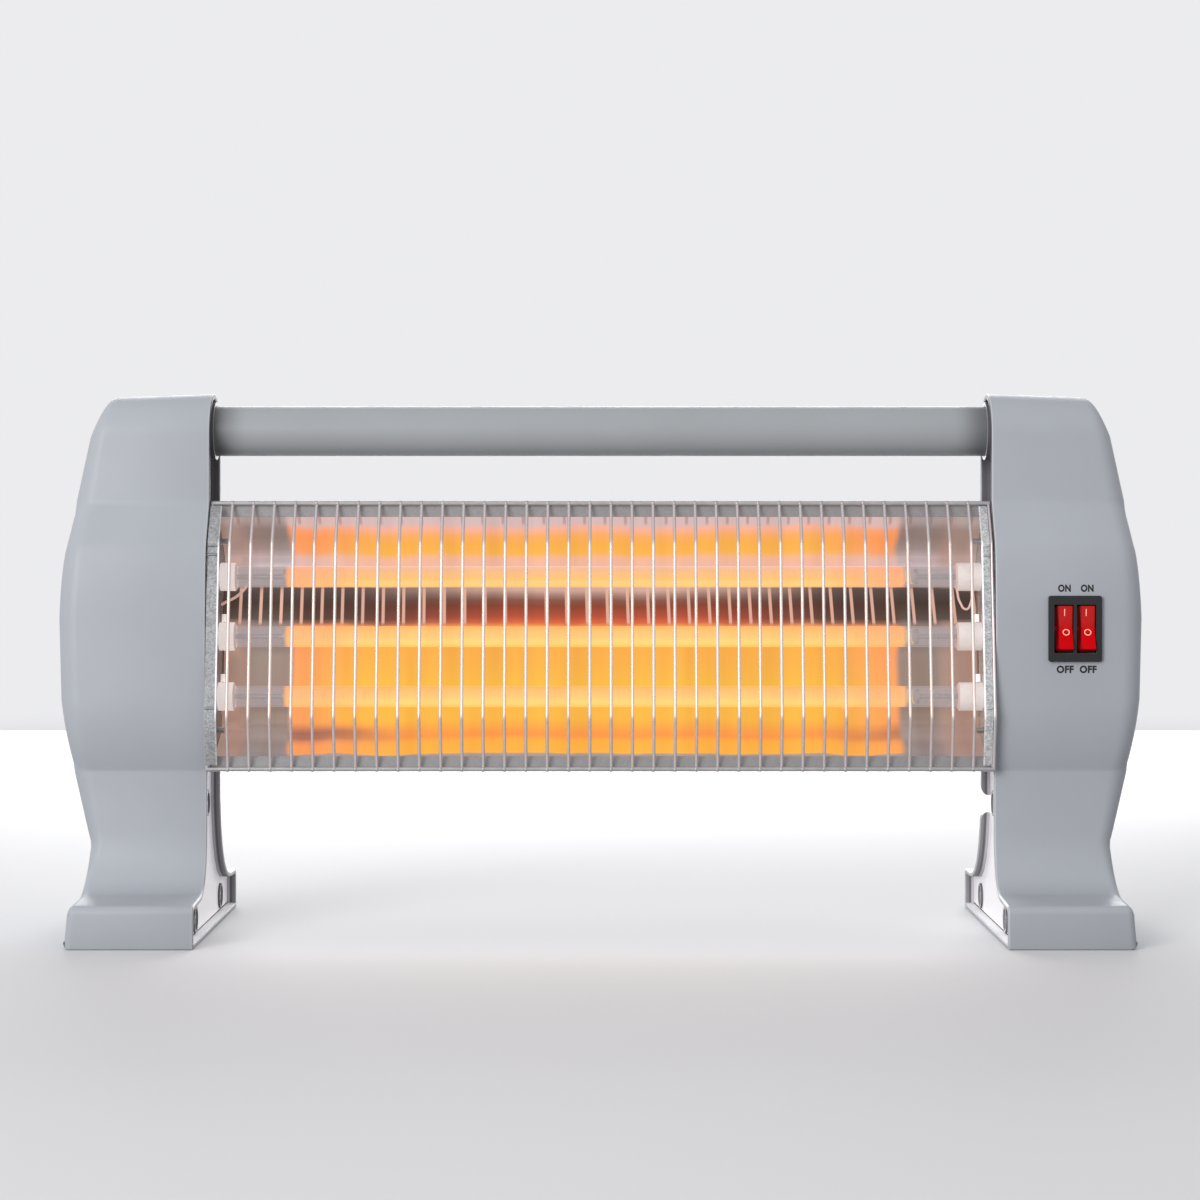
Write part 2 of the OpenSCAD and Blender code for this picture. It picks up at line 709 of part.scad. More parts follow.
// End plate: a web that closes the housing's end, a flange along the guard's line
// and pressed ridges across the flange. lead_v moves the flange ahead of the wires.
module end_plate(lead_v, flange_out_x) {
  edge = [
    [guard_v(flange_u) - lead_v, flange_u], [-guard_out - lead_v, guard_bend_top],
    [-guard_out - lead_v, -guard_bend_low], [guard_v(-flange_u) - lead_v, -flange_u]
  ];
  skirt = clearance + 0.2;
  web = concat(side_line(edge, -sheet_t / 2), [
    [0, -flange_u - 0.4], [0, -housing_half_h - skirt], [corner_d + skirt, -housing_half_h - skirt],
    [housing_d + skirt, -back_half_h - skirt], [housing_d + skirt, back_half_h + skirt],
    [corner_d + skirt, housing_half_h + skirt], [0, housing_half_h + skirt], [0, flange_u + 0.4]
  ]);
  color(zinc_grey) in_housing() difference() {
    union() {
      x_prism(plate_in_x, plate_x, web);
      x_prism(plate_in_x - flange_w, flange_out_x, strip(edge, sheet_t));
      for (u = [guard_bend_top - 1.5, guard_bend_top - 6, -guard_bend_low + 4])
        x_rod(plate_in_x - flange_w + 0.4, flange_out_x - 0.2, ridge_r,
          [-guard_out - lead_v - sheet_t / 2, u]);
    }
    for (p = bars) x_rod(plate_in_x - 1, plate_x + 1, neck_r + slip_gap, p);
    for (p = housing_screw_ends) x_rod(plate_in_x - 1, plate_x + 1, pilot_r, p);
    x_rod(plate_in_x - 1, plate_x + 1, return_r + clearance, return_at);
  }
}

module left_end_plate() {
  on_side(-1) end_plate(guard_wire_r + sheet_t, rim_x - clearance);
}

module right_end_plate() {
  end_plate(0, plate_x);
}

module housing_screws(s) {
  color(steel_grey) on_side(s) for (p = housing_screw_ends)
    translate([2 * panel_back_x, 0, 0]) mirror([1, 0, 0]) screw(panel_back_x, housing_screw_len, placed(p));
}

// ---- heating bars ----

module quartz_tube(p) {
  color("navajowhite", 0.6) in_housing() difference() {
    x_rod(-tube_end_x, tube_end_x, quartz_r, p);
    x_rod(-tube_end_x - 1, tube_end_x + 1, quartz_r - quartz_wall, p);
  }
}

// Resistance wire wound as one helix along X, with a short straight end each side
curl_rings = 8;
coil_sides = 6;
coil_steps = coil_turns * curl_rings;
coil_pitch = heated_len / coil_turns;
function coil_centre(i) =
  let (a = 360 * i / curl_rings)
  [heated_len * (i / coil_steps - 0.5), coil_r * cos(a), coil_r * sin(a)];
function coil_way(i) =
  let (a = 360 * i / curl_rings) unit([coil_pitch, -2 * PI * coil_r * sin(a), 2 * PI * coil_r * cos(a)]);

// Ring of the wire round centre c, square to way t, stretched across by k
function coil_ring(c, a, t, k) =
  let (out = [0, cos(a), sin(a)], across = cross(t, out))
  [for (j = [0 : coil_sides - 1]) let (b = 360 * j / coil_sides)
    c + coil_wire_r * (cos(b) * out + k * sin(b) * across)];
function coil_bend_ring(i) =
  let (t = coil_way(i), m = unit(t + [1, 0, 0]))
  coil_ring(coil_centre(i), 360 * i / curl_rings, m, 1 / (m * t));
coil_points = concat(
  coil_ring(coil_centre(0) - [2 * coil_wire_r, 0, 0], 0, [1, 0, 0], 1),
  coil_bend_ring(0),
  [for (i = [1 : coil_steps - 1]) each coil_ring(coil_centre(i), 360 * i / curl_rings, coil_way(i), 1)],
  coil_bend_ring(coil_steps),
  coil_ring(coil_centre(coil_steps) + [2 * coil_wire_r, 0, 0], 360 * coil_turns, [1, 0, 0], 1)
);
coil_ring_n = coil_steps + 3;

// Least gap between neighbouring curls, measured on the points of the helix
least_coil_gap = min([for (i = [0 : coil_steps - curl_rings - 2])
  for (j = [curl_rings - 2 : curl_rings + 2])
  norm(coil_centre(i) - coil_centre(i + j))]) - 2 * coil_wire_r;
echo(least_coil_gap = least_coil_gap);

module heating_coil(p) {
  color("orange") in_housing() translate([0, p[0], p[1]])
    polyhedron(points = coil_points, faces = tube_faces(coil_ring_n, coil_sides), convexity = 10);
}

module ceramic_cap(p) {
  difference() {
    union() {
      x_rod(ceramic_in_x, plate_in_x, ceramic_r, p);
      x_rod(plate_in_x - eps, neck_end_x, neck_r, p);
    }
    x_rod(ceramic_in_x - 1, tube_end_x + clearance, tube_bore_r, p);
    x_rod(ceramic_in_x, neck_end_x + 1, pin_r + pilot_gap, p);
    translate([link_x, p[0], p[1] - ceramic_r - 1]) cylinder(h = 2 * ceramic_r + 2, r = link_r + pilot_gap);
    translate([plate_x + clearance + clip_t / 2 + pilot_gap, p[0], p[1]]) rotate([0, 90, 0])
      difference() {
        cylinder(h = clip_t + 2 * pilot_gap, r = neck_r + 1, center = true);
        cylinder(h = 2 * clip_t, r = neck_r - 0.8, center = true);
      }
  }
}

module ceramic(s, i) {
  color(white_clay) on_side(s) in_housing() ceramic_cap(bars[i]);
}

// Spring clips in the grooves of the necks, each with a gap to push it on
module retaining_clips(s) {
  clip_x = plate_x + clearance + pilot_gap;
  color(steel_grey) on_side(s) in_housing() for (p = bars) difference() {
    x_rod(clip_x, clip_x + clip_t, neck_r + 1.8, p);
    x_rod(clip_x - 1, clip_x + clip_t + 1, neck_r - 0.8 + pilot_gap, p);
    box([clip_x - 1, p[0] - 2, p[1] - neck_r - 3], [clip_x + clip_t + 1, p[0] + 2, p[1]]);
  }
}

module terminal_pins(s) {
  color(steel_grey) on_side(s) in_housing() for (p = bars) difference() {
    union() {
      x_rod(coil_end_x, coil_end_x + pin_head_t, coil_r + coil_wire_r, p);
      x_rod(coil_end_x + eps, pin_end_x, pin_r, p);
    }
    translate([link_x, p[0], p[1] - ceramic_r]) cylinder(h = 2 * ceramic_r, r = link_r + pilot_gap);
  }
}

// Bare wire through the cross holes of the three ceramic caps of one side
module link_wire(s) {
  color(steel_grey) on_side(s) in_housing()
    translate([link_x, bar_v, bars[2][1] - 3]) cylinder(h = 2 * bar_pitch + 6, r = link_r);
}

module link_beads(s) {
  color("white") on_side(s) in_housing() for (i = [1, 2])
    translate([link_x, bar_v, bars[i][1] + ceramic_r + clearance]) difference() {
      cylinder(h = bead_len, r = bead_r);
      translate([0, 0, -1]) cylinder(h = bead_len + 2, r = link_r + pilot_gap);
    }
}

// ---- switch ----

switch_x = rim_x + switch_in;
switch_w = 2 * rocker_w + rocker_bar + 3;
switch_h = 2 * rocker_r + 5.4;
pivot_y = -belly_y + 1;
pivot_r = 1.2;
pivot_len = 0.7;
rocker_side_gap = 0.15;
rocker_end_gap = 0.25;
rocker_step = rocker_w + rocker_bar;
rocker_back = 4.6;
rocker_crown = 2.9;
rocker_dip = 1.6;

// Both rockers' places across the switch
function rocker_x(s) = switch_x + s * rocker_step / 2;

module switch_body() {
  slot_r = rocker_r + rocker_end_gap;
  color("dimgray") difference() {
    union() {
      box([switch_x - bezel_w / 2, -belly_y - bezel_proud, switch_z - bezel_h / 2],
        [switch_x + bezel_w / 2, -belly_y, switch_z + bezel_h / 2]);
      box([switch_x - switch_w / 2, -belly_y - eps, switch_z - switch_h / 2],
        [switch_x + switch_w / 2, -belly_y + switch_d, switch_z + switch_h / 2]);
    }
    for (s = [-1, 1]) {
      box([rocker_x(s) - rocker_w / 2 - rocker_side_gap, -belly_y - bezel_proud - 1, switch_z - slot_r],
        [rocker_x(s) + rocker_w / 2 + rocker_side_gap, pivot_y + rocker_back + 2.6, switch_z + slot_r]);
      x_rod(rocker_x(s) - rocker_w / 2 - pivot_len - 0.15, rocker_x(s) + rocker_w / 2 + pivot_len + 0.15,
        pivot_r + running_gap, [pivot_y, switch_z]);
    }
  }
}

// Rocker at rest in its ON position, with its upper half pushed in
module rocker(s) {
  half_x = rocker_w / 2;
  color("red") translate([rocker_x(s), pivot_y, switch_z]) rotate([-rocker_tilt, 0, 0]) {
    intersection() {
      x_rod(-half_x, half_x, rocker_r);
      x_prism(-half_x, half_x, [
        [rocker_back, -rocker_r - 1], [rocker_back, rocker_r + 1],
        [-rocker_dip - rocker_crown, rocker_r + 1], [-rocker_dip, 0],
        [-rocker_dip - rocker_crown, -rocker_r - 1]
      ]);
    }
    x_rod(-half_x - pivot_len, half_x + pivot_len, pivot_r);
  }
}

blade_ends = [for (s = [-1, 1]) for (u = [-7, 7]) [rocker_x(s), switch_z + u]];
blade_y = -belly_y + switch_d;
blade_w = 4.8;
blade_t = 0.8;
blade_len = 7;

module switch_terminals() {
  color("goldenrod") for (at = blade_ends)
    box([at[0] - blade_w / 2, blade_y, at[1] - blade_t / 2],
      [at[0] + blade_w / 2, blade_y + blade_len, at[1] + blade_t / 2]);
}

// ---- terminal block and leads ----

block_x0 = panel_back_x;
block_d = 12;
block_w = 16;
block_h = 30;
block_at = [-8, 92];
lead_r = 1.3;
return_r = 1.1;
return_at = [(reflector_d + housing_d - sheet_t) / 2, -8];
block_screw_ends = [for (u = [-1, 1]) [block_at[0], block_at[1] + u * 10]];
way_ends = [for (u = [-1, 0, 1]) block_at[1] + u * 5];
way_x = block_x0 + block_d / 2;

module terminal_block() {
  color("ivory") difference() {
    box([block_x0, block_at[0] - block_w / 2, block_at[1] - block_h / 2],
      [block_x0 + block_d, block_at[0] + block_w / 2, block_at[1] + block_h / 2]);
    for (z = way_ends) translate([way_x, block_at[0] - block_w / 2 - 1, z]) rotate([-90, 0, 0])
      cylinder(h = block_w + 2, r = lead_r + slip_gap);
    for (at = block_screw_ends) x_rod(block_x0 - 1, block_x0 + block_d + 1, pilot_r, at);
  }
}

module terminal_block_screws() {
  color(steel_grey) for (at = block_screw_ends)
    translate([2 * (block_x0 + block_d), 0, 0]) mirror([1, 0, 0]) screw(block_x0 + block_d, block_d, at);
}

// Place of a lead's end at the middle of a blade, on the side given by s
function blade_end(at, s, off) =
  [at[0], blade_y + blade_len / 2, at[1] + s * (blade_t / 2 + off)];

// Leads from the terminal block to the lower blades of the switch
module supply_leads() {
  mouth_y = block_at[0] - block_w / 2;
  color("saddlebrown") for (i = [0, 1]) {
    at = blade_ends[2 * i];
    z = way_ends[2 - i];
    lead([[way_x, mouth_y + 9, z], [way_x, mouth_y - 5 + 3 * i, z],
      blade_end(at, -1, 12), blade_end(at, -1, clearance)], lead_r);
  }
}

// Leads from the upper blades of the switch to the pins of the top and bottom bars
module element_leads() {
  color("white") for (i = [0, 1]) {
    at = blade_ends[2 * i + 1];
    p = placed(bars[2 * i]);
    rise = blade_end(at, 1, 6);
    lead([blade_end(at, 1, clearance), rise, [rise[0], blade_y + blade_len + 4, rise[2]],
      [pin_end_x + 6, p[0], p[1]], [pin_end_x + clearance, p[0], p[1]]], lead_r);
  }
}

// Return lead from the left middle pin, behind the reflector, to the terminal block
module return_lead() {
  start = placed(bars[1]);
  run = placed(return_at);
  turn_x = pin_end_x + clearance + return_r;
  end_y = block_at[0] + block_w / 2;
  color("steelblue") lead([[-turn_x, start[0], start[1]], [-turn_x, run[0], run[1]],
    [way_x, run[0], run[1]], [way_x, end_y + 5, way_ends[0]], [way_x, end_y - 3, way_ends[0]]], return_r);
}

// ---- tip-over switch ----

tip_at = [-14, tip_z];
tip_x = panel_back_x + tip_in;
tip_hub_r = 4;
tip_hub_t = 5;
tip_rod_r = 1.4;
tip_base_t = 2;
tip_half_w = 9;
tip_foot_h = 8;
tip_roof_low = 9;
tip_roof_top = 20;
tip_collar_t = 1.2;

module tip_switch_body() {
  axle_end_x = tip_x + tip_hub_t / 2 + clearance;
  color("darkslategray") {
    box([panel_back_x, tip_at[0] - tip_half_w, tip_z - tip_foot_h],
      [panel_back_x + tip_base_t, tip_at[0] + tip_half_w, tip_z + tip_roof_top]);
    box([panel_back_x, tip_at[0] - tip_half_w, tip_z + tip_roof_low],
      [tip_x + tip_weight_r, tip_at[0] + tip_half_w, tip_z + tip_roof_top]);
    x_rod(panel_back_x, axle_end_x + eps, tip_axle_r, tip_at);
    x_rod(axle_end_x, axle_end_x + tip_collar_t, tip_axle_r + tip_collar_t, tip_at);
  }
}

module tip_switch_pendulum() {
  color("gray") difference() {
    union() {
      x_rod(tip_x - tip_hub_t / 2, tip_x + tip_hub_t / 2, tip_hub_r, tip_at);
      translate([tip_x, tip_at[0], tip_z - tip_len]) cylinder(h = tip_len, r = tip_rod_r);
      x_rod(tip_x - tip_hub_t, tip_x + tip_hub_t, tip_weight_r, [tip_at[0], tip_z - tip_len]);
    }
    x_rod(tip_x - tip_hub_t, tip_x + tip_hub_t, tip_axle_r + running_gap, tip_at);
  }
}

left_end_shell();
right_end_shell();
left_inner_panel();
right_inner_panel();
panel_screws(-1);  // left_panel_screws
panel_screws(1);  // right_panel_screws
handle_tube();
left_handle_plug();
right_handle_plug();
handle_screws();
casing();
reflector();
casing_rivets();
left_end_plate();
right_end_plate();
housing_screws(-1);  // left_housing_screws
housing_screws(1);  // right_housing_screws
guard_wires();
guard_rods();
quartz_tube(bars[0]);  // quartz_tube_top
quartz_tube(bars[1]);  // quartz_tube_middle
quartz_tube(bars[2]);  // quartz_tube_bottom
heating_coil(bars[0]);  // heating_coil_top
heating_coil(bars[1]);  // heating_coil_middle
heating_coil(bars[2]);  // heating_coil_bottom
ceramic(-1, 0);  // left_ceramic_top
ceramic(-1, 1);  // left_ceramic_middle
ceramic(-1, 2);  // left_ceramic_bottom
ceramic(1, 0);  // right_ceramic_top
ceramic(1, 1);  // right_ceramic_middle
ceramic(1, 2);  // right_ceramic_bottom
retaining_clips(-1);  // left_retaining_clips
retaining_clips(1);  // right_retaining_clips
terminal_pins(-1);  // left_terminal_pins
terminal_pins(1);  // right_terminal_pins
link_wire(-1);  // left_link_wire
link_wire(1);  // right_link_wire
link_beads(-1);  // left_link_beads
link_beads(1);  // right_link_beads
switch_body();
switch_terminals();
rocker(-1);  // left_rocker
rocker(1);  // right_rocker
terminal_block();
terminal_block_screws();
tip_switch_body();
tip_switch_pendulum();
supply_leads();
element_leads();
return_lead();
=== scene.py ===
import math
import bmesh
import bpy
from mathutils import Matrix, Vector


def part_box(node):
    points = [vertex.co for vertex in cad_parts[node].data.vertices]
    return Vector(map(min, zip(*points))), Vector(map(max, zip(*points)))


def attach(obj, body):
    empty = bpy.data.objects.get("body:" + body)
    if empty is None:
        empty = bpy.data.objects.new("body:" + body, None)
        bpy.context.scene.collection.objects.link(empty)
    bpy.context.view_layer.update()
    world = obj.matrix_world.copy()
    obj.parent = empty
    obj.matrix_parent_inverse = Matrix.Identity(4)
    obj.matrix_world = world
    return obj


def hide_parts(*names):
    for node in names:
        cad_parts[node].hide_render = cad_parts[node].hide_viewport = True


# Electric bar heater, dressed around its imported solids.
# Sizes in the dictionaries are millimetres, and mm turns them into metres.
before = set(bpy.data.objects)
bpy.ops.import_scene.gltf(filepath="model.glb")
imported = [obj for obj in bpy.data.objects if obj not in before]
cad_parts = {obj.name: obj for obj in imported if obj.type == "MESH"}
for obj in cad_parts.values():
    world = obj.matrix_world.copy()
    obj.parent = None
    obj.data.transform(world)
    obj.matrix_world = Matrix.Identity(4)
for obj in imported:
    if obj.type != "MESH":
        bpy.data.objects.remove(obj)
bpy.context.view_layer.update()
mm = 0.001
scene = bpy.context.scene
scene.view_settings.view_transform = "Standard"


# A new object in the scene, with the materials of its mesh
def putOut(name, data, *materials):
    piece = bpy.data.objects.new(name, data)
    scene.collection.objects.link(piece)
    for material in materials:
        data.materials.append(material)
    return piece


# ---- camera ----
shot = {
    "image": 1200,  # pixels along each side of the photograph
    "sensor": 36,
    "distance": 1340,  # from the lens to the front of the caps
    "capFront": -36,
    "frameWidth": 563.5,  # what the picture spans at the front of the caps
    "lensHeight": 184.4,
    "horizonRow": 545,  # row of the photograph that is level with the lens
    "middleColumn": 600.5,  # column of the photograph at the heater's middle
}
lens = bpy.data.cameras.new("lens")
lens.sensor_width = shot["sensor"]
lens.lens = shot["sensor"] * shot["distance"] / shot["frameWidth"]
lens.shift_y = shot["horizonRow"] / shot["image"] - 0.5
lens.clip_end = 20
camera = putOut("camera", lens)
sideStep = (shot["image"] / 2 - shot["middleColumn"]) * shot["frameWidth"] / shot["image"]
camera.location = Vector((sideStep, shot["capFront"] - shot["distance"], shot["lensHeight"])) * mm
camera.rotation_euler = (math.radians(90), 0, 0)
scene.camera = camera
print("camera: lens", round(lens.lens, 1))


# ---- shader helpers ----
# sRGB bytes as a linear colour
def tone(red, green, blue):
    shares = [c / 255 for c in (red, green, blue)]
    return tuple(c / 12.92 if c <= 0.04045 else ((c + 0.055) / 1.055) ** 2.4 for c in shares)


def dim(colour, share):
    return tuple(min(1, c * share) for c in colour)


# A new node with its own options; into a socket goes a value or another node's output
def addNode(tree, kind, inputs=None, **options):
    node = tree.nodes.new(kind)
    for option, value in options.items():
        setattr(node, option, value)
    for socket, term in (inputs or {}).items():
        if isinstance(term, bpy.types.NodeSocket):
            tree.links.new(term, node.inputs[socket])
        else:
            node.inputs[socket].default_value = term
    return node


def calc(tree, operation, *terms):
    node = addNode(tree, "ShaderNodeMath", dict(enumerate(terms)), operation=operation)
    return node.outputs["Value"]


# Settings of a finish that shines a little by itself
def ownLight(colour, strength):
    return {"Emission Color": (*colour, 1), "Emission Strength": strength}


class Finish:
    def __init__(self, name, colour, settings):
        self.material = bpy.data.materials.new(name)
        self.material.use_nodes = True
        self.tree = self.material.node_tree
        self.shader = self.tree.nodes["Principled BSDF"]
        self.shader.inputs["Base Color"].default_value = (*colour, 1)
        for socket, value in settings.items():
            self.shader.inputs[socket].default_value = value
        self.source = addNode(self.tree, "ShaderNodeTexCoord").outputs["Object"]

    def feed(self, source, socket):
        self.tree.links.new(source, self.shader.inputs[socket])

    def calc(self, operation, *terms):
        return calc(self.tree, operation, *terms)

    def times(self, first, second):
        return self.calc("MULTIPLY", first, second)

    # How far a value is from a centre
    def distance(self, value, centre=0.0):
        return self.calc("ABSOLUTE", self.calc("SUBTRACT", value, centre))

    # X, Y and Z of a vector, or else of the object's coordinates, in metres
    def axes(self, source=None):
        vector = self.source if source is None else source
        return addNode(self.tree, "ShaderNodeSeparateXYZ", {"Vector": vector}).outputs

    def noise(self, scale, detail=3, stretch=(1, 1, 1)):
        place = addNode(self.tree, "ShaderNodeMapping", {"Vector": self.source, "Scale": stretch})
        values = {"Vector": place.outputs["Vector"], "Scale": scale, "Detail": detail}
        return addNode(self.tree, "ShaderNodeTexNoise", values).outputs["Fac"]

    # Stops are (place, colour) pairs from 0 to 1
    def ramp(self, source, stops):
        node = addNode(self.tree, "ShaderNodeValToRGB", {"Fac": source})
        points = node.color_ramp.elements
        while len(points) < len(stops):
            points.new(1)
        for point, (place, colour) in zip(points, stops):
            point.position = place
            point.color = (*colour, 1)
        return node.outputs["Color"]

    # A value carried from one range over to another
    def spread(self, source, fromLow, fromHigh, low, high, smooth=False):
        values = {"Value": source, "From Min": fromLow, "From Max": fromHigh,
                  "To Min": low, "To Max": high}
        kind = "SMOOTHSTEP" if smooth else "LINEAR"
        node = addNode(self.tree, "ShaderNodeMapRange", values, clamp=True, interpolation_type=kind)
        return node.outputs["Result"]

    # The same along a stretch in millimetres
    def fade(self, source, stretch, low, high, smooth=False):
        return self.spread(source, stretch[0] * mm, stretch[1] * mm, low, high, smooth)

    def blend(self, share, first, second, mode="MIX"):
        terms = {0: share, 6: first, 7: second}
        terms = {k: (*term, 1) if isinstance(term, tuple) else term for k, term in terms.items()}
        node = addNode(self.tree, "ShaderNodeMix", terms, data_type="RGBA", blend_type=mode)
        return node.outputs[2]

    def scaled(self, colour, amount):
        terms = {0: colour, 3: amount}
        return addNode(self.tree, "ShaderNodeVectorMath", terms, operation="SCALE").outputs["Vector"]

    # Cloudy colour between two shades
    def clouds(self, colour, scale, low, high, detail=3):
        stops = [(0.3, dim(colour, low)), (0.7, dim(colour, high))]
        return self.ramp(self.noise(scale, detail), stops)

    def mottle(self, *settings):
        self.feed(self.clouds(*settings), "Base Color")

    def gloss(self, scale, low, high, stretch=(1, 1, 1)):
        uneven = self.spread(self.noise(scale, 3, stretch), 0.25, 0.75, low, high)
        self.feed(uneven, "Roughness")

    # Grain that the light catches, its depth in millimetres
    def grain(self, scale, depth, strength, stretch=(1, 1, 1)):
        values = {"Strength": strength, "Distance": depth * mm,
                  "Height": self.noise(scale, 2, stretch)}
        self.feed(addNode(self.tree, "ShaderNodeBump", values).outputs["Normal"], "Normal")


# ---- materials ----
# Where painted light and shade change, as distances from the heater's middle or heights over the
# floor
shading = {
    "guardMiddle": 144.7,
    "wireSlope": (38.3, 43.3),  # above and below the guard's middle the wires slope back and take painted shade
    "foldEnds": (38, 43),  # and there the painted highlight along the end plates' fold fades
    "fold": (180.2, 180.5),
    "upper": (120, 180),  # painted shade darkens cap insides and panels between these heights
    "beside": (185, 191),  # from the rim to just behind the panel
    "handleEnd": (168, 185),
}


# Moulded plastic: uneven gloss and spark-eroded grain, its colour still plain
def plastic(name, colour, gloss, settings=None):
    basis = {"Roughness": gloss, "Specular IOR Level": 0.35}
    made = Finish(name, colour, {**basis, **(settings or {})})
    made.gloss(60, gloss - 0.05, gloss + 0.05)
    made.grain(1500, 0.02, 0.3)
    return made


# The same with faint cloudiness
def moulded(name, colour, gloss):
    made = plastic(name, colour, gloss)
    made.mottle(colour, 18, 0.97, 1.03)
    return made.material


# Zinc coat: crystals with ragged edges, and a fine cloud over them. Lift is a painted glow that
# lightens its shadows, and a folded sheet gets a painted highlight of the bars' light along its
# fold.
def galvanised(name, low, high, metal=0.35, lift=0.0, foldHighlight=False):
    light = ownLight(tone(255, 248, 250), lift)
    made = Finish(name, low, {"Metallic": metal, "Roughness": 0.42, **light})
    tree = made.tree
    warp = addNode(tree, "ShaderNodeTexNoise", {"Vector": made.source, "Scale": 260, "Detail": 4})
    bend = made.scaled(warp.outputs["Color"], 0.004)
    ragged = addNode(tree, "ShaderNodeVectorMath", {0: made.source, 1: bend}, operation="ADD")
    crystals = addNode(tree, "ShaderNodeTexVoronoi", {
        "Vector": ragged.outputs["Vector"], "Scale": 1100, "Randomness": 1.0})
    split = addNode(tree, "ShaderNodeSeparateColor", {"Color": crystals.outputs["Color"]})
    flakes = made.times(split.outputs["Red"], 0.35)
    cloud = made.times(made.noise(1600, 4), 0.8)
    mixed = made.calc("ADD", flakes, cloud)
    made.feed(made.ramp(mixed, [(0.3, low), (0.85, high)]), "Base Color")
    made.feed(made.spread(split.outputs["Green"], 0, 1, 0.42, 0.56), "Roughness")
    made.grain(800, 0.03, 0.35)
    if foldHighlight:
        axes = made.axes()
        near = made.fade(made.distance(axes["X"]), shading["fold"], 0.8, 0)
        level = made.distance(axes["Z"], shading["guardMiddle"] * mm)
        line = made.times(near, made.fade(level, shading["foldEnds"], 1, 0.2))
        made.feed(line, "Emission Strength")
    return made.material


def metal(name, colour, gloss, share=1.0):
    made = Finish(name, colour, {"Metallic": share, "Roughness": gloss})
    made.mottle(colour, 220, 0.86, 1.0)
    made.gloss(400, gloss * 0.8, gloss * 1.3)
    return made.material


# Guard wire with painted light and shade: bright along the front, painted duller where it slopes
# back to the rods
def wireSteel(name, front, slope):
    made = Finish(name, front, {"Metallic": 0.45, "Roughness": 0.4})
    away = made.distance(made.axes()["Z"], shading["guardMiddle"] * mm)
    slopeShade = made.fade(away, shading["wireSlope"], 0, 1, True)
    made.feed(made.blend(slopeShade, front, slope), "Base Color")
    made.gloss(400, 0.34, 0.5)
    return made.material


def insulation(name, colour, glow=0.0):
    made = Finish(name, colour, {"Roughness": 0.5, **ownLight(colour, glow)})
    made.mottle(colour, 260, 0.82, 1.0)
    made.grain(900, 0.03, 0.3)
    return made.material


# Unglazed ceramic with a painted glow of the bars beside it
def fired(name, colour, glow):
    made = Finish(name, colour, {"Roughness": 0.6, **ownLight(tone(255, 244, 238), glow)})
    made.mottle(colour, 320, 0.9, 1.0, 4)
    made.grain(1100, 0.04, 0.5)
    return made.material


# Inside of a cap: painted light and shade by distance from the heater's middle, and painted shade
# higher up
def besidePanel(name, stops):
    made = plastic(name, stops[0][1], 0.5)
    axes = made.axes()
    near, far = shading["beside"]
    away = made.fade(made.distance(axes["X"]), (near, far), 0, 1)
    wall = made.ramp(away, [((x - near) / (far - near), colour) for x, colour in stops])
    shadeAbove = made.fade(axes["Z"], shading["upper"], 0, 0.9)
    made.feed(made.blend(shadeAbove, wall, tone(92, 88, 90)), "Base Color")
    return made.material


# Panel plastic, pale with a painted glow at the feet, and with painted shade of the cap higher up
def panelFinish(name, low, high, glow):
    made = plastic(name, low, 0.5, {"Emission Strength": glow})
    shadeAbove = made.fade(made.axes()["Z"], shading["upper"], 0, 1)
    made.feed(made.blend(shadeAbove, low, high), "Base Color")
    made.feed(made.blend(shadeAbove, low, (0.0, 0.0, 0.0)), "Emission Color")
    return made.material


# The handle's plastic, with painted shade where it runs into the caps
def handleFinish(name, colour):
    made = plastic(name, colour, 0.38)
    shade = made.fade(made.distance(made.axes()["X"]), shading["handleEnd"], 1, 0.4, True)
    made.feed(made.scaled(made.clouds(colour, 18, 0.97, 1.03), shade), "Base Color")
    return made.material


# Flat print; its glow is a painted light that brightens it
def ink(name, colour, glow=0.0):
    made = Finish(name, colour, {"Roughness": 0.5, **ownLight(colour, glow)})
    made.mottle(colour, 500, 0.9, 1.0)
    return made.material


capPlastic = moulded("capPlastic", tone(180, 184, 191), 0.42)
# The rim band is painted paler and glossier: a painted highlight
rimPlastic = moulded("rimPlastic", tone(198, 201, 206), 0.34)
# Painted light and shade on the inner walls: painted shade darkest just behind the rim and lighter
# nearer the panel. The sole is painted pale as if lit, with a painted shadow line behind the panel.
innerPlastic = besidePanel("innerPlastic", [
    (185.6, tone(158, 155, 157)), (187.2, tone(146, 143, 145)), (187.6, tone(112, 110, 112)),
    (188.4, tone(112, 110, 112)), (188.8, tone(196, 194, 202)), (190, tone(204, 202, 210))])
solePlastic = besidePanel("solePlastic", [
    (185.6, tone(244, 242, 244)), (189.5, tone(238, 236, 238)), (189.9, tone(70, 70, 72)),
    (191, tone(40, 40, 42))])
handlePlastic = handleFinish("handlePlastic", tone(170, 173, 176))
panelPlastic = panelFinish("panelPlastic", tone(247, 245, 248), tone(84, 81, 84), 0.22)
# Painted shade for the panels' recesses and bottom edge, and a painted highlight for the collar's
# end
recessPlastic = moulded("recessPlastic", tone(162, 162, 167), 0.55)
collarPlastic = moulded("collarPlastic", tone(190, 189, 191), 0.45)
# Painted shade for the rim's inward faces and the collar's wall
shadePlastic = moulded("shadePlastic", tone(102, 100, 104), 0.5)
plugPlastic = moulded("plugPlastic", tone(52, 52, 54), 0.5)
# The casing's zinc has a faint painted glow that lightens its shadows
zincSheet = galvanised("zincSheet", tone(124, 122, 124), tone(140, 138, 140), 0.1, 0.07)
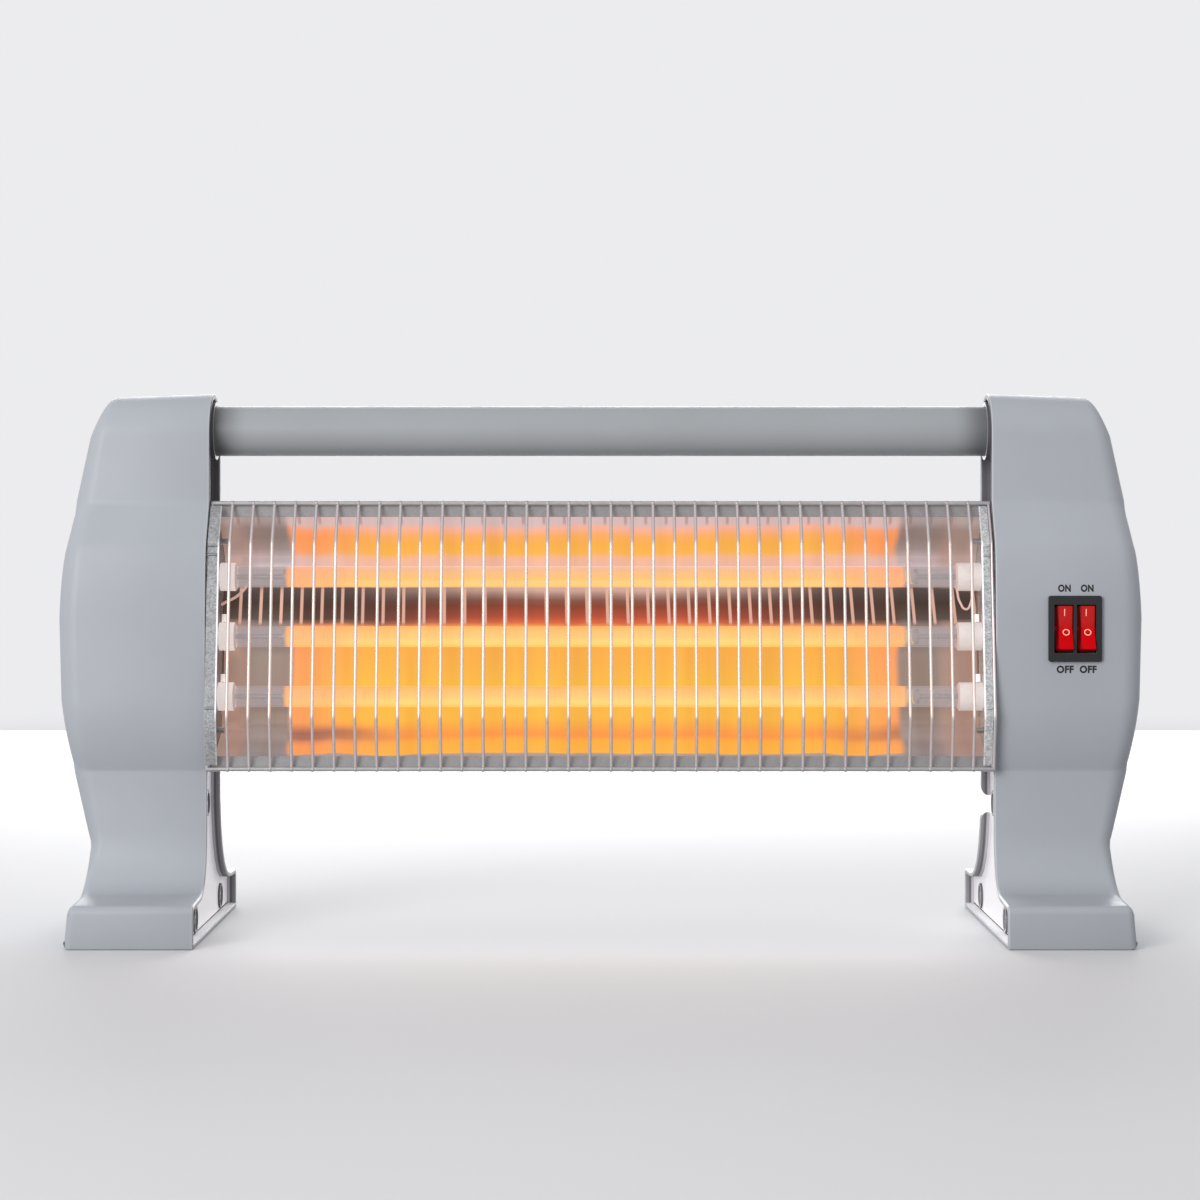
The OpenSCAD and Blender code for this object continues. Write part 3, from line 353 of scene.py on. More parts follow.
# The right plate is painted lighter than the left: painted light
plateZinc = {
    "left": galvanised("leftZinc", tone(118, 120, 122), tone(172, 174, 176), foldHighlight=True),
    "right": galvanised("rightZinc", tone(150, 152, 154), tone(226, 227, 228), foldHighlight=True),
}
brightWire = wireSteel("brightWire", tone(240, 226, 221), tone(206, 197, 198))
rodSteel = metal("rodSteel", tone(182, 180, 180), 0.4, 0.4)
plainSteel = metal("plainSteel", tone(196, 196, 198), 0.3)
bladeBrass = metal("bladeBrass", tone(214, 184, 112), 0.28)
# All clay has a painted glow. The right ends take a painted-shade copy, and the bars' inner ends a
# painted warm light.
whiteClay = fired("whiteClay", tone(250, 246, 246), 0.46)
shadedClay = fired("shadedClay", tone(218, 210, 208), 0.29)
warmClay = fired("warmClay", tone(206, 170, 166), 0.24)
blockPlastic = moulded("blockPlastic", tone(226, 220, 204), 0.5)
tipPlastic = moulded("tipPlastic", tone(48, 56, 60), 0.45)
brownLead = insulation("brownLead", tone(92, 52, 34))
whiteLead = insulation("whiteLead", tone(228, 226, 220))
blueLead = insulation("blueLead", tone(58, 92, 150))
# The salmon lead has a painted glow that lifts it out of shade
salmonLead = insulation("salmonLead", tone(212, 176, 166), 0.5)
print("materials: plastics, metals, clay and insulation")


# ---- mesh helpers ----
def shadeSmooth(piece, angle=30):
    piece.data.polygons.foreach_set("use_smooth", [True] * len(piece.data.polygons))
    piece.data.set_sharp_from_angle(angle=math.radians(angle))


# A mesh from points in millimetres, each face with its material's place
def makeMesh(name, points, faces, tags=None):
    mesh = bpy.data.meshes.new(name)
    mesh.from_pydata([tuple(c * mm for c in p) for p in points], [], faces)
    if tags:
        mesh.polygons.foreach_set("material_index", tags)
    return mesh


# Merges doubles and turns every face of a closed mesh outwards
def closeUp(mesh):
    shape = bmesh.new()
    shape.from_mesh(mesh)
    bmesh.ops.remove_doubles(shape, verts=shape.verts, dist=0.002 * mm)
    bmesh.ops.recalc_face_normals(shape, faces=shape.faces)
    shape.to_mesh(mesh)
    shape.free()
    return mesh


# The mesh that an object's modifiers or curve give
def workedOut(piece):
    graph = bpy.context.evaluated_depsgraph_get()
    return bpy.data.meshes.new_from_object(piece.evaluated_get(graph))


# Makes what the modifiers give the piece's own mesh
def keepResult(piece):
    mesh = workedOut(piece)
    piece.modifiers.clear()
    piece.data = mesh


def curveMesh(curve):
    source = putOut(curve.name, curve)
    mesh = workedOut(source)
    bpy.data.objects.remove(source)
    return mesh


# The piece stands for its nodes and moves with a body
def settle(piece, nodes=(), body="heater"):
    if nodes:
        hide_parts(*nodes)
    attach(piece, body)
    return piece


# A node's solid as an editable shape with merged flat faces
def shapeOf(node):
    shape = bmesh.new()
    shape.from_mesh(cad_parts[node].data)
    bmesh.ops.remove_doubles(shape, verts=shape.verts, dist=0.002 * mm)
    bmesh.ops.dissolve_limit(shape, angle_limit=math.radians(1), verts=shape.verts,
                             edges=shape.edges, delimit={"NORMAL"})
    return shape


def roundEdges(shape, edges, width, segments=2):
    bmesh.ops.bevel(
        shape, geom=edges, offset=width * mm, offset_type="OFFSET", segments=segments, profile=0.5,
        affect="EDGES", clamp_overlap=True)


def hardEdges(shape, sharper=35):
    limit = math.radians(sharper)
    return [e for e in shape.edges if e.is_manifold and e.calc_face_angle(0) > limit]


# Puts out a shape made from a node; pick gives each face its material's place. Large faces set the
# shading of the edges they share with small ones.
def finishShape(shape, node, materials, pick=None):
    if pick:
        for face in shape.faces:
            face.material_index = pick(face.calc_center_median() / mm, face.normal)
    mesh = bpy.data.meshes.new(node)
    shape.to_mesh(mesh)
    shape.free()
    piece = putOut(node + "_soft", mesh, *materials)
    shadeSmooth(piece)
    piece.modifiers.new("shade", "WEIGHTED_NORMAL").keep_sharp = True
    keepResult(piece)
    return settle(piece, [node])


# A copy of a node's solid whose hard edges are rounded off; change may move its vertices first
def softened(node, materials, edge, change=None, pick=None):
    shape = shapeOf(node)
    if change:
        change(shape)
    roundEdges(shape, hardEdges(shape), edge)
    return finishShape(shape, node, materials, pick)


# Faces between two closed rows of points, which start at first and second
def between(first, second, count):
    return [(first + i, first + (i + 1) % count, second + (i + 1) % count, second + i)
            for i in range(count)]


# Faces across a closed row of points whose second half runs back along its first
def across(start, count):
    return [(start + i, start + i + 1, start + count - 2 - i, start + count - 1 - i)
            for i in range(count // 2 - 1)]


# Surface of revolution along X from (x, radius) pairs, closed from the last back to the first
def lathe(profile, sides):
    turns = [2 * math.pi * i / sides for i in range(sides)]
    points = [(x, r * math.cos(t), r * math.sin(t)) for x, r in profile for t in turns]
    faces = []
    for k in range(len(profile)):
        faces += between(k * sides, (k + 1) % len(profile) * sides, sides)
    return points, faces


def arcPoints(centre, radius, start, end, count):
    turns = [math.radians(start + (end - start) * i / count) for i in range(count + 1)]
    return [Vector((centre[0] + radius * math.cos(t), centre[1] + radius * math.sin(t)))
            for t in turns]


def bendPoints(first, pull, last, count):
    steps = [i / count for i in range(count + 1)]
    return [(1 - t) ** 2 * Vector(first) + 2 * t * (1 - t) * Vector(pull) + t * t * Vector(last)
            for t in steps]


# The corner at one point of a line, rounded over a reach either side
def easeCorner(line, index, reach, count=5):
    corner = line[index]
    before = corner + (line[index - 1] - corner).normalized() * reach
    after = corner + (line[index + 1] - corner).normalized() * reach
    return line[:index] + bendPoints(before, corner, after, count) + line[index + 1:]


# Sideways vector that moves both lines of a corner over by one
def mitre(first, second):
    first, second = first.normalized(), second.normalized()
    n1, n2 = Vector((first[1], -first[0])), Vector((second[1], -second[0]))
    return (n1 + n2) / (1 + n1.dot(n2))


# The mitre at each point of a closed ring, pointing inwards
def ringMitres(ring):
    return [mitre(point - ring[i - 1], ring[(i + 1) % len(ring)] - point)
            for i, point in enumerate(ring)]


# Cuts closed meshes out of a piece and keeps the result as its mesh
def cutOut(piece, tools):
    for tool in tools:
        modifier = piece.modifiers.new("cut", "BOOLEAN")
        modifier.object = tool
        modifier.solver = "EXACT"
    keepResult(piece)
    for tool in tools:
        bpy.data.objects.remove(tool)


def boxTool(low, high):
    shape = bmesh.new()
    bmesh.ops.create_cube(shape, size=1)
    for vert in shape.verts:
        for axis in range(3):
            vert.co[axis] = (low[axis] if vert.co[axis] < 0 else high[axis]) * mm
    mesh = bpy.data.meshes.new("tool")
    shape.to_mesh(mesh)
    shape.free()
    return putOut("tool", mesh)


# Frame of the tilted housing: Y goes into its depth and Z up its front
housing = {
    "tilt": 8.4,
    "lipFront": 25.75,
    "lipHeight": 141.5,
    "barDepth": 20,
    "barPitch": 28.9,
    "barMiddle": 1.9,
    "plateInner": 182.9,  # inner face of the end plates, from the middle
    "glowShift": -2.5,  # the bars' lit stretch lies a little to the left
}
tiltTurn = Matrix.Rotation(-math.radians(housing["tilt"]), 4, "X")
tiltShift = Matrix.Translation(Vector((0, -housing["lipFront"], housing["lipHeight"])) * mm)
housingPlace = tiltShift @ tiltTurn
barHeights = {"top": 1, "middle": 0, "bottom": -1}
barHeights = {k: housing["barMiddle"] + n * housing["barPitch"] for k, n in barHeights.items()}


# A finish's coordinates in that frame
def housingAxes(made):
    origin = tuple(housingPlace.translation)
    centred = addNode(made.tree, "ShaderNodeVectorMath", {0: made.source, 1: origin},
                      operation="SUBTRACT")
    turned = addNode(made.tree, "ShaderNodeVectorRotate", {
        "Vector": centred.outputs["Vector"], "Axis": (1, 0, 0),
        "Angle": math.radians(housing["tilt"])}, rotation_type="AXIS_ANGLE")
    return made.axes(turned.outputs["Vector"])


# ---- end caps ----
cap = {
    "rim": 185.5,  # inner rim, from the heater's middle
    "width": 70.5,
    "wall": 2.5,
    "footReach": 78,
    "toeHeight": 20,
    "toeRadius": 4,
    "toeRoot": 50,
    "heelRoot": 58,
    "ankleFront": 31,
    "ankleHeight": 50,
    "calfHeight": 62,
    "lowCreaseFront": 30,
    "lowCreaseHeight": 78,
    "bellyFront": 36,
    "bellyLow": 112,
    "bellyTop": 150,
    "shoulderFront": 32,
    "shoulderHeight": 186.7,
    "topCrease": 204,
    "archRadius": 20,
    "archBack": -2,
    "archHeight": 237,
    "bowRadius": 390,
    "bowLowRadius": 300,
    "bowMiddle": 138,
    "waistHeight": 44,
    "footFlare": 3.8,
    "footEdge": 3.5,
    "bodyEdge": 10,
    "crownEdge": 7,
    "crestFall": 2.4,
    "lip": 0.9,  # rounding of the rim outside
    "innerLip": 0.5,
    "rimBand": 0.75,  # width of the paler edge, a painted highlight
    "soleEdge": 0.8,  # rounding along the floor
    "toeRise": (1.3, 4),  # over the toe the ankle's curve starts, and is pulled to
    "heelRise": (0.5, 2),
    "heelPull": 6,
    "shoulderPull": 7,
    "lowCreaseEase": 0.8,  # rounding of the creases
    "topCreaseEase": 2.0,
}
backY = cap["archBack"] + cap["archRadius"]
crest = cap["archHeight"] + cap["archRadius"] - cap["topCrease"]


# Front and back lines of a cap, seen from the side, in pairs from the floor up
def capLines():
    reach, sole, toe = cap["footReach"], cap["soleEdge"], cap["toeRadius"]
    toeTop, belly = cap["toeHeight"], cap["bellyFront"]
    front = arcPoints((sole - reach, sole), sole, 270, 180, 3)
    front += arcPoints((toe - reach, toeTop - toe), toe, 180, 90, 8)
    root, pull = [toeTop + rise for rise in cap["toeRise"]]
    front += bendPoints((-cap["toeRoot"], root), (-cap["ankleFront"] - 1, pull),
                        (-cap["ankleFront"], cap["ankleHeight"]), 20)
    back = arcPoints((reach - sole, sole), sole, 270, 360, 3)
    back += arcPoints((reach - toe, toeTop - toe), toe, 0, 90, 8)
    root, pull = [toeTop + rise for rise in cap["heelRise"]]
    back += bendPoints((cap["heelRoot"], root), (backY + cap["heelPull"], pull),
                       (backY, cap["calfHeight"]), 20)
    pull = (cap["lowCreaseHeight"] + cap["bellyLow"]) / 2
    body = bendPoints((-cap["lowCreaseFront"], cap["lowCreaseHeight"]), (-belly, pull),
                      (-belly, cap["bellyLow"]), 14)
    pull = cap["shoulderHeight"] - cap["shoulderPull"]
    body += bendPoints((-belly, cap["bellyTop"]), (-belly, pull),
                       (-cap["shoulderFront"], cap["shoulderHeight"]), 14)
    body += [Vector((cap["archBack"] - cap["archRadius"], cap["topCrease"]))]
    archCentre = (cap["archBack"], cap["archHeight"])
    frontArch = arcPoints(archCentre, cap["archRadius"], 180, 92, 16)
    backArch = arcPoints(archCentre, cap["archRadius"], 0, 88, 16)
    body = [front[-1]] + body + [frontArch[0]]
    body = easeCorner(body, len(body) - 2, cap["topCreaseEase"])
    body = easeCorner(body, 1, cap["lowCreaseEase"])[1:-1]
    return front + body + frontArch, back + [Vector((backY, p[1])) for p in body] + backArch


def outerX(z):
    height = max(z, cap["waistHeight"]) - cap["bowMiddle"]
    radius = cap["bowLowRadius"] if z < cap["bowMiddle"] else cap["bowRadius"]
    bow = math.sqrt(radius ** 2 - height ** 2) - radius
    flare = cap["footFlare"] * max(0, cap["waistHeight"] - z) / cap["waistHeight"]
    return cap["rim"] + cap["width"] + bow + flare


def crownShare(z):
    return max(0, (z - cap["topCrease"]) / crest)


def edgeRadius(z):
    rise = min(1, max(0, (z - cap["toeHeight"] - 4) / (cap["waistHeight"] - 2)))
    body = cap["footEdge"] + (cap["bodyEdge"] - cap["footEdge"]) * rise
    return body - (cap["bodyEdge"] - cap["crownEdge"]) * crownShare(z)


# Closed shell of one cap: an outer and an inner skin of stations from rim to side
def capShell(name, side):
    front, back = capLines()
    ring = front + back[::-1]
    mitres = ringMitres(ring)
    count = len(ring)

    def station(i, x, inset):
        y, z = ring[i] + inset * mitres[i]
        fall = cap["crestFall"] * crownShare(ring[i][1]) * (x - cap["rim"]) / cap["width"]
        return (side * x, y, z - fall)

    # rounded edge of the rim, outside and inside
    def rimRow(degrees, radius, inset, inwards):
        turn = math.radians(degrees)
        x = cap["rim"] + radius * (1 - math.cos(turn))
        depth = inset + inwards * radius * (1 - math.sin(turn))
        return [station(i, x, depth) for i in range(count)]

    # one row of the rounded edge towards the side wall
    def sideRow(degrees, depth):
        turn = math.radians(degrees)
        row = []
        for i in range(count):
            radius = edgeRadius(ring[i][1])
            x = outerX(ring[i][1]) - radius + (radius - depth) * math.sin(turn)
            row.append(station(i, x, depth + (radius - depth) * (1 - math.cos(turn))))
        return row

    skins = [
        [rimRow(a, cap["lip"], 0, 1) for a in (0, 22, 45, 67, 90)]
        + [sideRow(9 * k, 0) for k in range(11)],
        [rimRow(a, cap["innerLip"], cap["wall"], -1) for a in (0, 45, 90)]
        + [sideRow(18 * k, cap["wall"]) for k in range(6)],
    ]
    plain = {"outer": 0, "rim": 1, "inner": 2, "sole": 3, "shade": 4}
    points, starts, faces, tags = [], [], [], []
    for skin, rows in zip(("outer", "inner"), skins):
        starts.append([len(points) + count * k for k in range(len(rows))])
        points += [point for row in rows for point in row]
        for first, second in zip(starts[-1], starts[-1][1:]):
            faces += between(first, second, count)
        faces += across(starts[-1][-1], count)
        tags += [plain[skin]] * (len(faces) - len(tags))
    faces += between(starts[0][0], starts[1][0], count)
    tags += [plain["rim"]] * count
    mesh = closeUp(makeMesh(name, points, faces, tags))
    # Painted highlight on the rim band and painted shade on its inward faces above the low crease.
    # The inner skin's upward faces at the floor take the sole's painted light and shadow.
    for face in mesh.polygons:
        if abs(face.center.x) < (cap["rim"] + cap["rimBand"]) * mm:
            facesIn = abs(face.normal.x) > 0.8 and face.center.z > cap["lowCreaseHeight"] * mm
            face.material_index = plain["shade" if facesIn else "rim"]
        elif face.material_index == plain["inner"] and face.normal.z > 0.5 and face.center.z < 0.01:
            face.material_index = plain["sole"]
    return putOut(name, mesh, capPlastic, rimPlastic, innerPlastic, solePlastic, shadePlastic)


outlet = {"height": 58.2, "gap": 8.4, "depth": 12, "flare": 4.5, "mouth": 3.5}


# Slot for the cord in the back wall, with a flared mouth at the rim and a round end
def outletTool():
    half, level, x0 = outlet["gap"] / 2, outlet["height"], cap["rim"] - 1
    wide, mouth = half + outlet["flare"], x0 + 1 + outlet["mouth"]
    edge = [Vector((x0, level - wide))]
    edge += bendPoints((x0 + 1, level - wide), (x0 + 2, level - half), (mouth, level - half), 6)
    edge += arcPoints((cap["rim"] + outlet["depth"] - half, level), half, -90, 90, 14)
    edge += bendPoints((mouth, level + half), (x0 + 2, level + half), (x0 + 1, level + wide), 6)
    edge += [Vector((x0, level + wide))]
    count = len(edge)
    points = [(p[0], y, p[1]) for y in (backY - 6, backY + 2) for p in edge]
    faces = [tuple(range(count)), tuple(range(2 * count - 1, count - 1, -1))]
    faces += between(0, count, count)
    return putOut("tool", closeUp(makeMesh("tool", points, faces)))


switchHole = {"cover": Vector((1.2, 0, 1.6)), "front": -40, "back": -30}


# Hole for the switch, which its bezel covers all round
def switchTool():
    low, high = [Vector(corner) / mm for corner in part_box("switch_body")]
    low, high = low + switchHole["cover"], high - switchHole["cover"]
    low[1], high[1] = switchHole["front"], switchHole["back"]
    return boxTool(low, high)


leftCap = capShell("left_cap", -1)
rightCap = capShell("right_cap", 1)
cutOut(rightCap, [outletTool(), switchTool()])
for piece, node in ((leftCap, "left_end_shell"), (rightCap, "right_end_shell")):
    shadeSmooth(piece, 40)
    settle(piece, [node])
print("caps:", len(leftCap.data.polygons), "faces each")

# ---- inner panels and their screws ----
panel = {
    "face": 190,
    "screwPlaces": [(-41, 9.2), (47, 9.6), (0, 60), (-2, 213)],  # Y and height
    "recess": 5,
    "recessDepth": 1.2,
    "collarFace": 187,  # the handle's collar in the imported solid
    "collarReach": 184.7,  # and as it is seen in the photograph
    "slack": 0.1,
    "screwHead": 3.2,
    "screwHeight": 1.8,
    "screwShank": 1.45,
    "screwLength": 12,
    "crossLong": 2.0,
    "crossWide": 0.4,
    "crossDepth": 0.95,
}


def reachIn(shape):
    for vert in shape.verts:
        if abs(vert.co.x) < (panel["collarFace"] + panel["slack"]) * mm:
            vert.co.x = math.copysign(panel["collarReach"] * mm, vert.co.x)


# Painted shade in the recesses and along the sole, and on the collar a painted highlight on its end
# with painted shade on its wall
def panelPick(centre, normal):
    x, y, z = abs(centre[0]), centre[1], centre[2]
    if x < panel["face"] - panel["slack"]:
        return 2 if abs(normal[0]) > 0.3 else 3
    away = min(math.hypot(y - place[0], z - place[1]) for place in panel["screwPlaces"])
    floor = panel["face"] + panel["recessDepth"] + panel["slack"]
    if away < panel["recess"] + panel["slack"] and x < floor:
        return 1
    return 1 if z < 4 and normal[2] < -0.3 else 0


panelPlastics = [panelPlastic, recessPlastic, collarPlastic, shadePlastic]
for side in ("left", "right"):
    softened(side + "_inner_panel", panelPlastics, 0.3, reachIn, panelPick)


# ---- geometry node helpers ----
# A tree with named inputs; kinds are socket types without their prefix
def newTree(name, sockets):
    tree = bpy.data.node_groups.new(name, "GeometryNodeTree")
    tree.interface.new_socket("Result", in_out="OUTPUT", socket_type="NodeSocketGeometry")
    keys = {}
    for label, kind in sockets.items():
        kind = "NodeSocket" + kind
        keys[label] = tree.interface.new_socket(label, in_out="INPUT", socket_type=kind).identifier
    return tree, keys, tree.nodes.new("NodeGroupInput").outputs


# Ends a tree: real geometry with one material
def finishTree(tree, inputs, geometry):
    real = addNode(tree, "GeometryNodeRealizeInstances", {"Geometry": geometry})
    paint = addNode(tree, "GeometryNodeSetMaterial", {
        "Geometry": real.outputs["Geometry"], "Material": inputs["Material"]})
    addNode(tree, "NodeGroupOutput", {"Result": paint.outputs["Geometry"]})


# Runs a tree with its values and keeps the result as a plain mesh
def grow(name, made, values, place=None):
    tree, keys = made
    piece = putOut(name, bpy.data.meshes.new(name))
    modifier = piece.modifiers.new("grow", "NODES")
    modifier.node_group = tree
    for label, value in values.items():
        modifier[keys[label]] = value
    bpy.context.view_layer.update()
    keepResult(piece)
    if place:
        piece.data.transform(place)
    shadeSmooth(piece, 40)
    return piece


def vector(tree, x=0.0, y=0.0, z=0.0):
    return addNode(tree, "ShaderNodeCombineXYZ", {"X": x, "Y": y, "Z": z}).outputs["Vector"]


def copies(tree, points, shape):
    node = addNode(tree, "GeometryNodeInstanceOnPoints", {"Points": points, "Instance": shape})
    return node.outputs["Instances"]


def contents(tree, source):
    return addNode(tree, "GeometryNodeObjectInfo", {"Object": source}).outputs["Geometry"]


# Places copies of one shape on given points
def scatterTree():
    sockets = {"Places": "Object", "Shape": "Object", "Material": "Material"}
    tree, keys, inputs = newTree("scatter", sockets)
    places, shape = contents(tree, inputs["Places"]), contents(tree, inputs["Shape"])
    finishTree(tree, inputs, copies(tree, places, shape))
    return tree, keys


scatterMade = scatterTree()


def scatter(name, places, shape, material, place=None):
    source = putOut("spots", makeMesh("spots", places, []))
    values = {"Places": source, "Shape": shape, "Material": material}
    piece = grow(name, scatterMade, values, place)
    bpy.data.objects.remove(source)
    return piece


# Pan-head screw along X with its seat at 0 and a cross recess in its head
def screwShape():
    head, height, shank = panel["screwHead"], panel["screwHeight"], panel["screwShank"]
    length = panel["screwLength"]
    profile = [(-height, 0), (-height, head * 0.35), (-height * 0.86, head * 0.72),
               (-height * 0.5, head * 0.95), (-height * 0.12, head), (0, head * 0.98), (0, shank)]
    for k in range(int(length) - 2):
        profile += [(k + 0.3, shank), (k + 0.8, shank * 0.78)]
    profile += [(length - 1.4, shank), (length, 0.1), (length, 0)]
    points, faces = lathe(profile, 20)
    piece = putOut("screw", closeUp(makeMesh("screw", points, faces)))
    start, end = -height - 1, panel["crossDepth"] - height
    long, wide = panel["crossLong"], panel["crossWide"]
    cutOut(piece, [boxTool((start, -y, -z), (end, y, z)) for y, z in ((long, wide), (wide, long))])
    return piece


screw = screwShape()
seat = panel["face"] + panel["recessDepth"]
for side, sign in (("right", 1), ("left", -1)):
    places = [(sign * seat, y, z) for y, z in panel["screwPlaces"]]
    row = scatter(side + "_panel_screw_row", places, screw, plainSteel)
    settle(row, [side + "_panel_screws"])
    screw.data.transform(Matrix.Rotation(math.pi, 4, "Z"))  # the left ones point the other way
bpy.data.objects.remove(screw)
print("panels: recesses and eight cross-head screws")

# ---- handle ----
softened("handle_tube", [handlePlastic], 0.4)

# ---- sheet metal ----
# The housing's lowest fold, and how far it goes up
sheet = {"bottom": -60, "front": 2, "corner": 24, "lift": 1.9}


# The bottom sheet runs back less steeply, as the photograph shows nothing below the guard's rod
def liftFold(shape):
    for vert in shape.verts:
        place = housingPlace.inverted() @ vert.co / mm
        if place[2] < sheet["bottom"] and place[1] > sheet["front"]:
            place[2] += sheet["lift"] * min(1, place[1] / sheet["corner"])
            vert.co = housingPlace @ (place * mm)


softened("casing", [zincSheet], 0.2, liftFold)
for side, zinc in plateZinc.items():
    softened(side + "_end_plate", [zinc], 0.2, liftFold)
print("housing: sheet metal softened")

# ---- reflector ----
reflector = {
    "halfLength": 182.6,
    "frontDepth": 1.3,
    "frontHeight": 61.0,
    "backDepth": 32.75,
    "backHeight": 42,
    "bend": 5,  # reach of the folds
    "sheet": 0.5,
    "litHalf": 146.5,  # half of the stretch with the painted reflection of the glow
    "reach": 64,  # the bands run from -reach to reach up the front
    "wander": 5,
    "turn": (108, 150),  # where the middle's colours turn into those of the ends
    "turns": [  # and the bands that do so elsewhere: lean to the left, stretch and heights
        (0, (30, 128), (6, 30)),
        (-0.1, (86, 153), (-70, -39)),
        (0, (100, 140), (40, 100)),
    ],
    "warmEnd": (163.5, 170.5),  # painted warm reflections near the ceramics
    "warmTop": (42, 56),  # heights over which they fade
    "mirrorBand": (9, 29),  # heights of the painted dark band with painted reflections of the guard wires
    "mirrorPitch": 9.89,
    "mirrorStart": 13.24,
    "mirrorMiddle": 18,
    "mirrorLine": (0.05, 0.1),  # sharp core and soft edge of an image, as shares of the pitch
    "mirrorTicks": (54, 56),
    "rivets": [(x, u) for x in (-118.7, 118.7) for u in (-30, 30)],
}
# Painted reflection colours up the sheet, in its middle and towards the ends of the lit stretch
middleBands = [
    (-64, (158, 150, 152)), (-55.4, (166, 152, 148)), (-54.6, (254, 180, 76)), (-48, (254, 176, 72)),
    (-45, (253, 152, 79)), (-41, (254, 171, 78)), (-36.5, (255, 187, 76)), (-20, (254, 190, 76)),
    (-10, (254, 181, 80)), (2, (254, 177, 80)), (8.5, (244, 150, 80)), (10, (222, 108, 72)),
    (13, (186, 86, 62)), (18, (146, 74, 56)), (21, (140, 92, 76)), (23.5, (172, 132, 120)),
    (26, (212, 172, 158)), (36, (238, 188, 178)), (41.5, (250, 188, 150)), (44, (253, 185, 84)),
    (47.5, (254, 180, 82)), (50.5, (254, 178, 104)), (53.3, (252, 182, 156)),
    (55.2, (218, 190, 188)), (64, (208, 188, 190)),
]
endBands = [
    (-64, (158, 150, 152)), (-55.4, (166, 152, 148)), (-54.6, (252, 160, 94)),
    (-50.5, (248, 158, 98)), (-48.5, (232, 142, 100)), (-46.5, (172, 116, 96)),
    (-43.5, (164, 110, 94)), (-41, (214, 134, 98)), (-38, (252, 160, 98)), (-20, (254, 166, 100)),
    (-8, (254, 162, 104)), (4, (254, 158, 96)), (8.5, (244, 150, 98)), (10, (150, 104, 84)),
    (12, (96, 72, 64)), (18, (86, 62, 54)), (21, (84, 66, 60)), (27, (98, 82, 76)),
    (30, (200, 180, 180)), (38, (220, 188, 188)), (42, (232, 184, 168)), (44.5, (252, 164, 108)),
    (50, (253, 156, 92)), (52.8, (252, 162, 112)), (54.8, (218, 186, 180)), (64, (206, 184, 180)),
]
# And beyond that stretch, also painted reflection
plainBands = [
    (-64, (156, 150, 152)), (-55.4, (160, 152, 150)), (-54.4, (166, 156, 154)),
    (-50, (162, 150, 146)), (-46, (176, 164, 160)), (-42, (170, 156, 150)), (-37, (156, 139, 128)),
    (-10, (156, 138, 128)), (5, (158, 144, 138)), (9.5, (140, 124, 118)), (12, (98, 86, 80)),
    (17, (84, 70, 62)), (20, (76, 64, 58)), (24, (86, 73, 69)), (27, (100, 88, 84)),
    (29, (170, 160, 162)), (38, (204, 190, 193)), (42, (206, 190, 190)), (45, (178, 162, 158)),
    (50, (156, 140, 132)), (53, (158, 142, 136)), (56, (184, 170, 168)), (64, (186, 178, 178)),
]


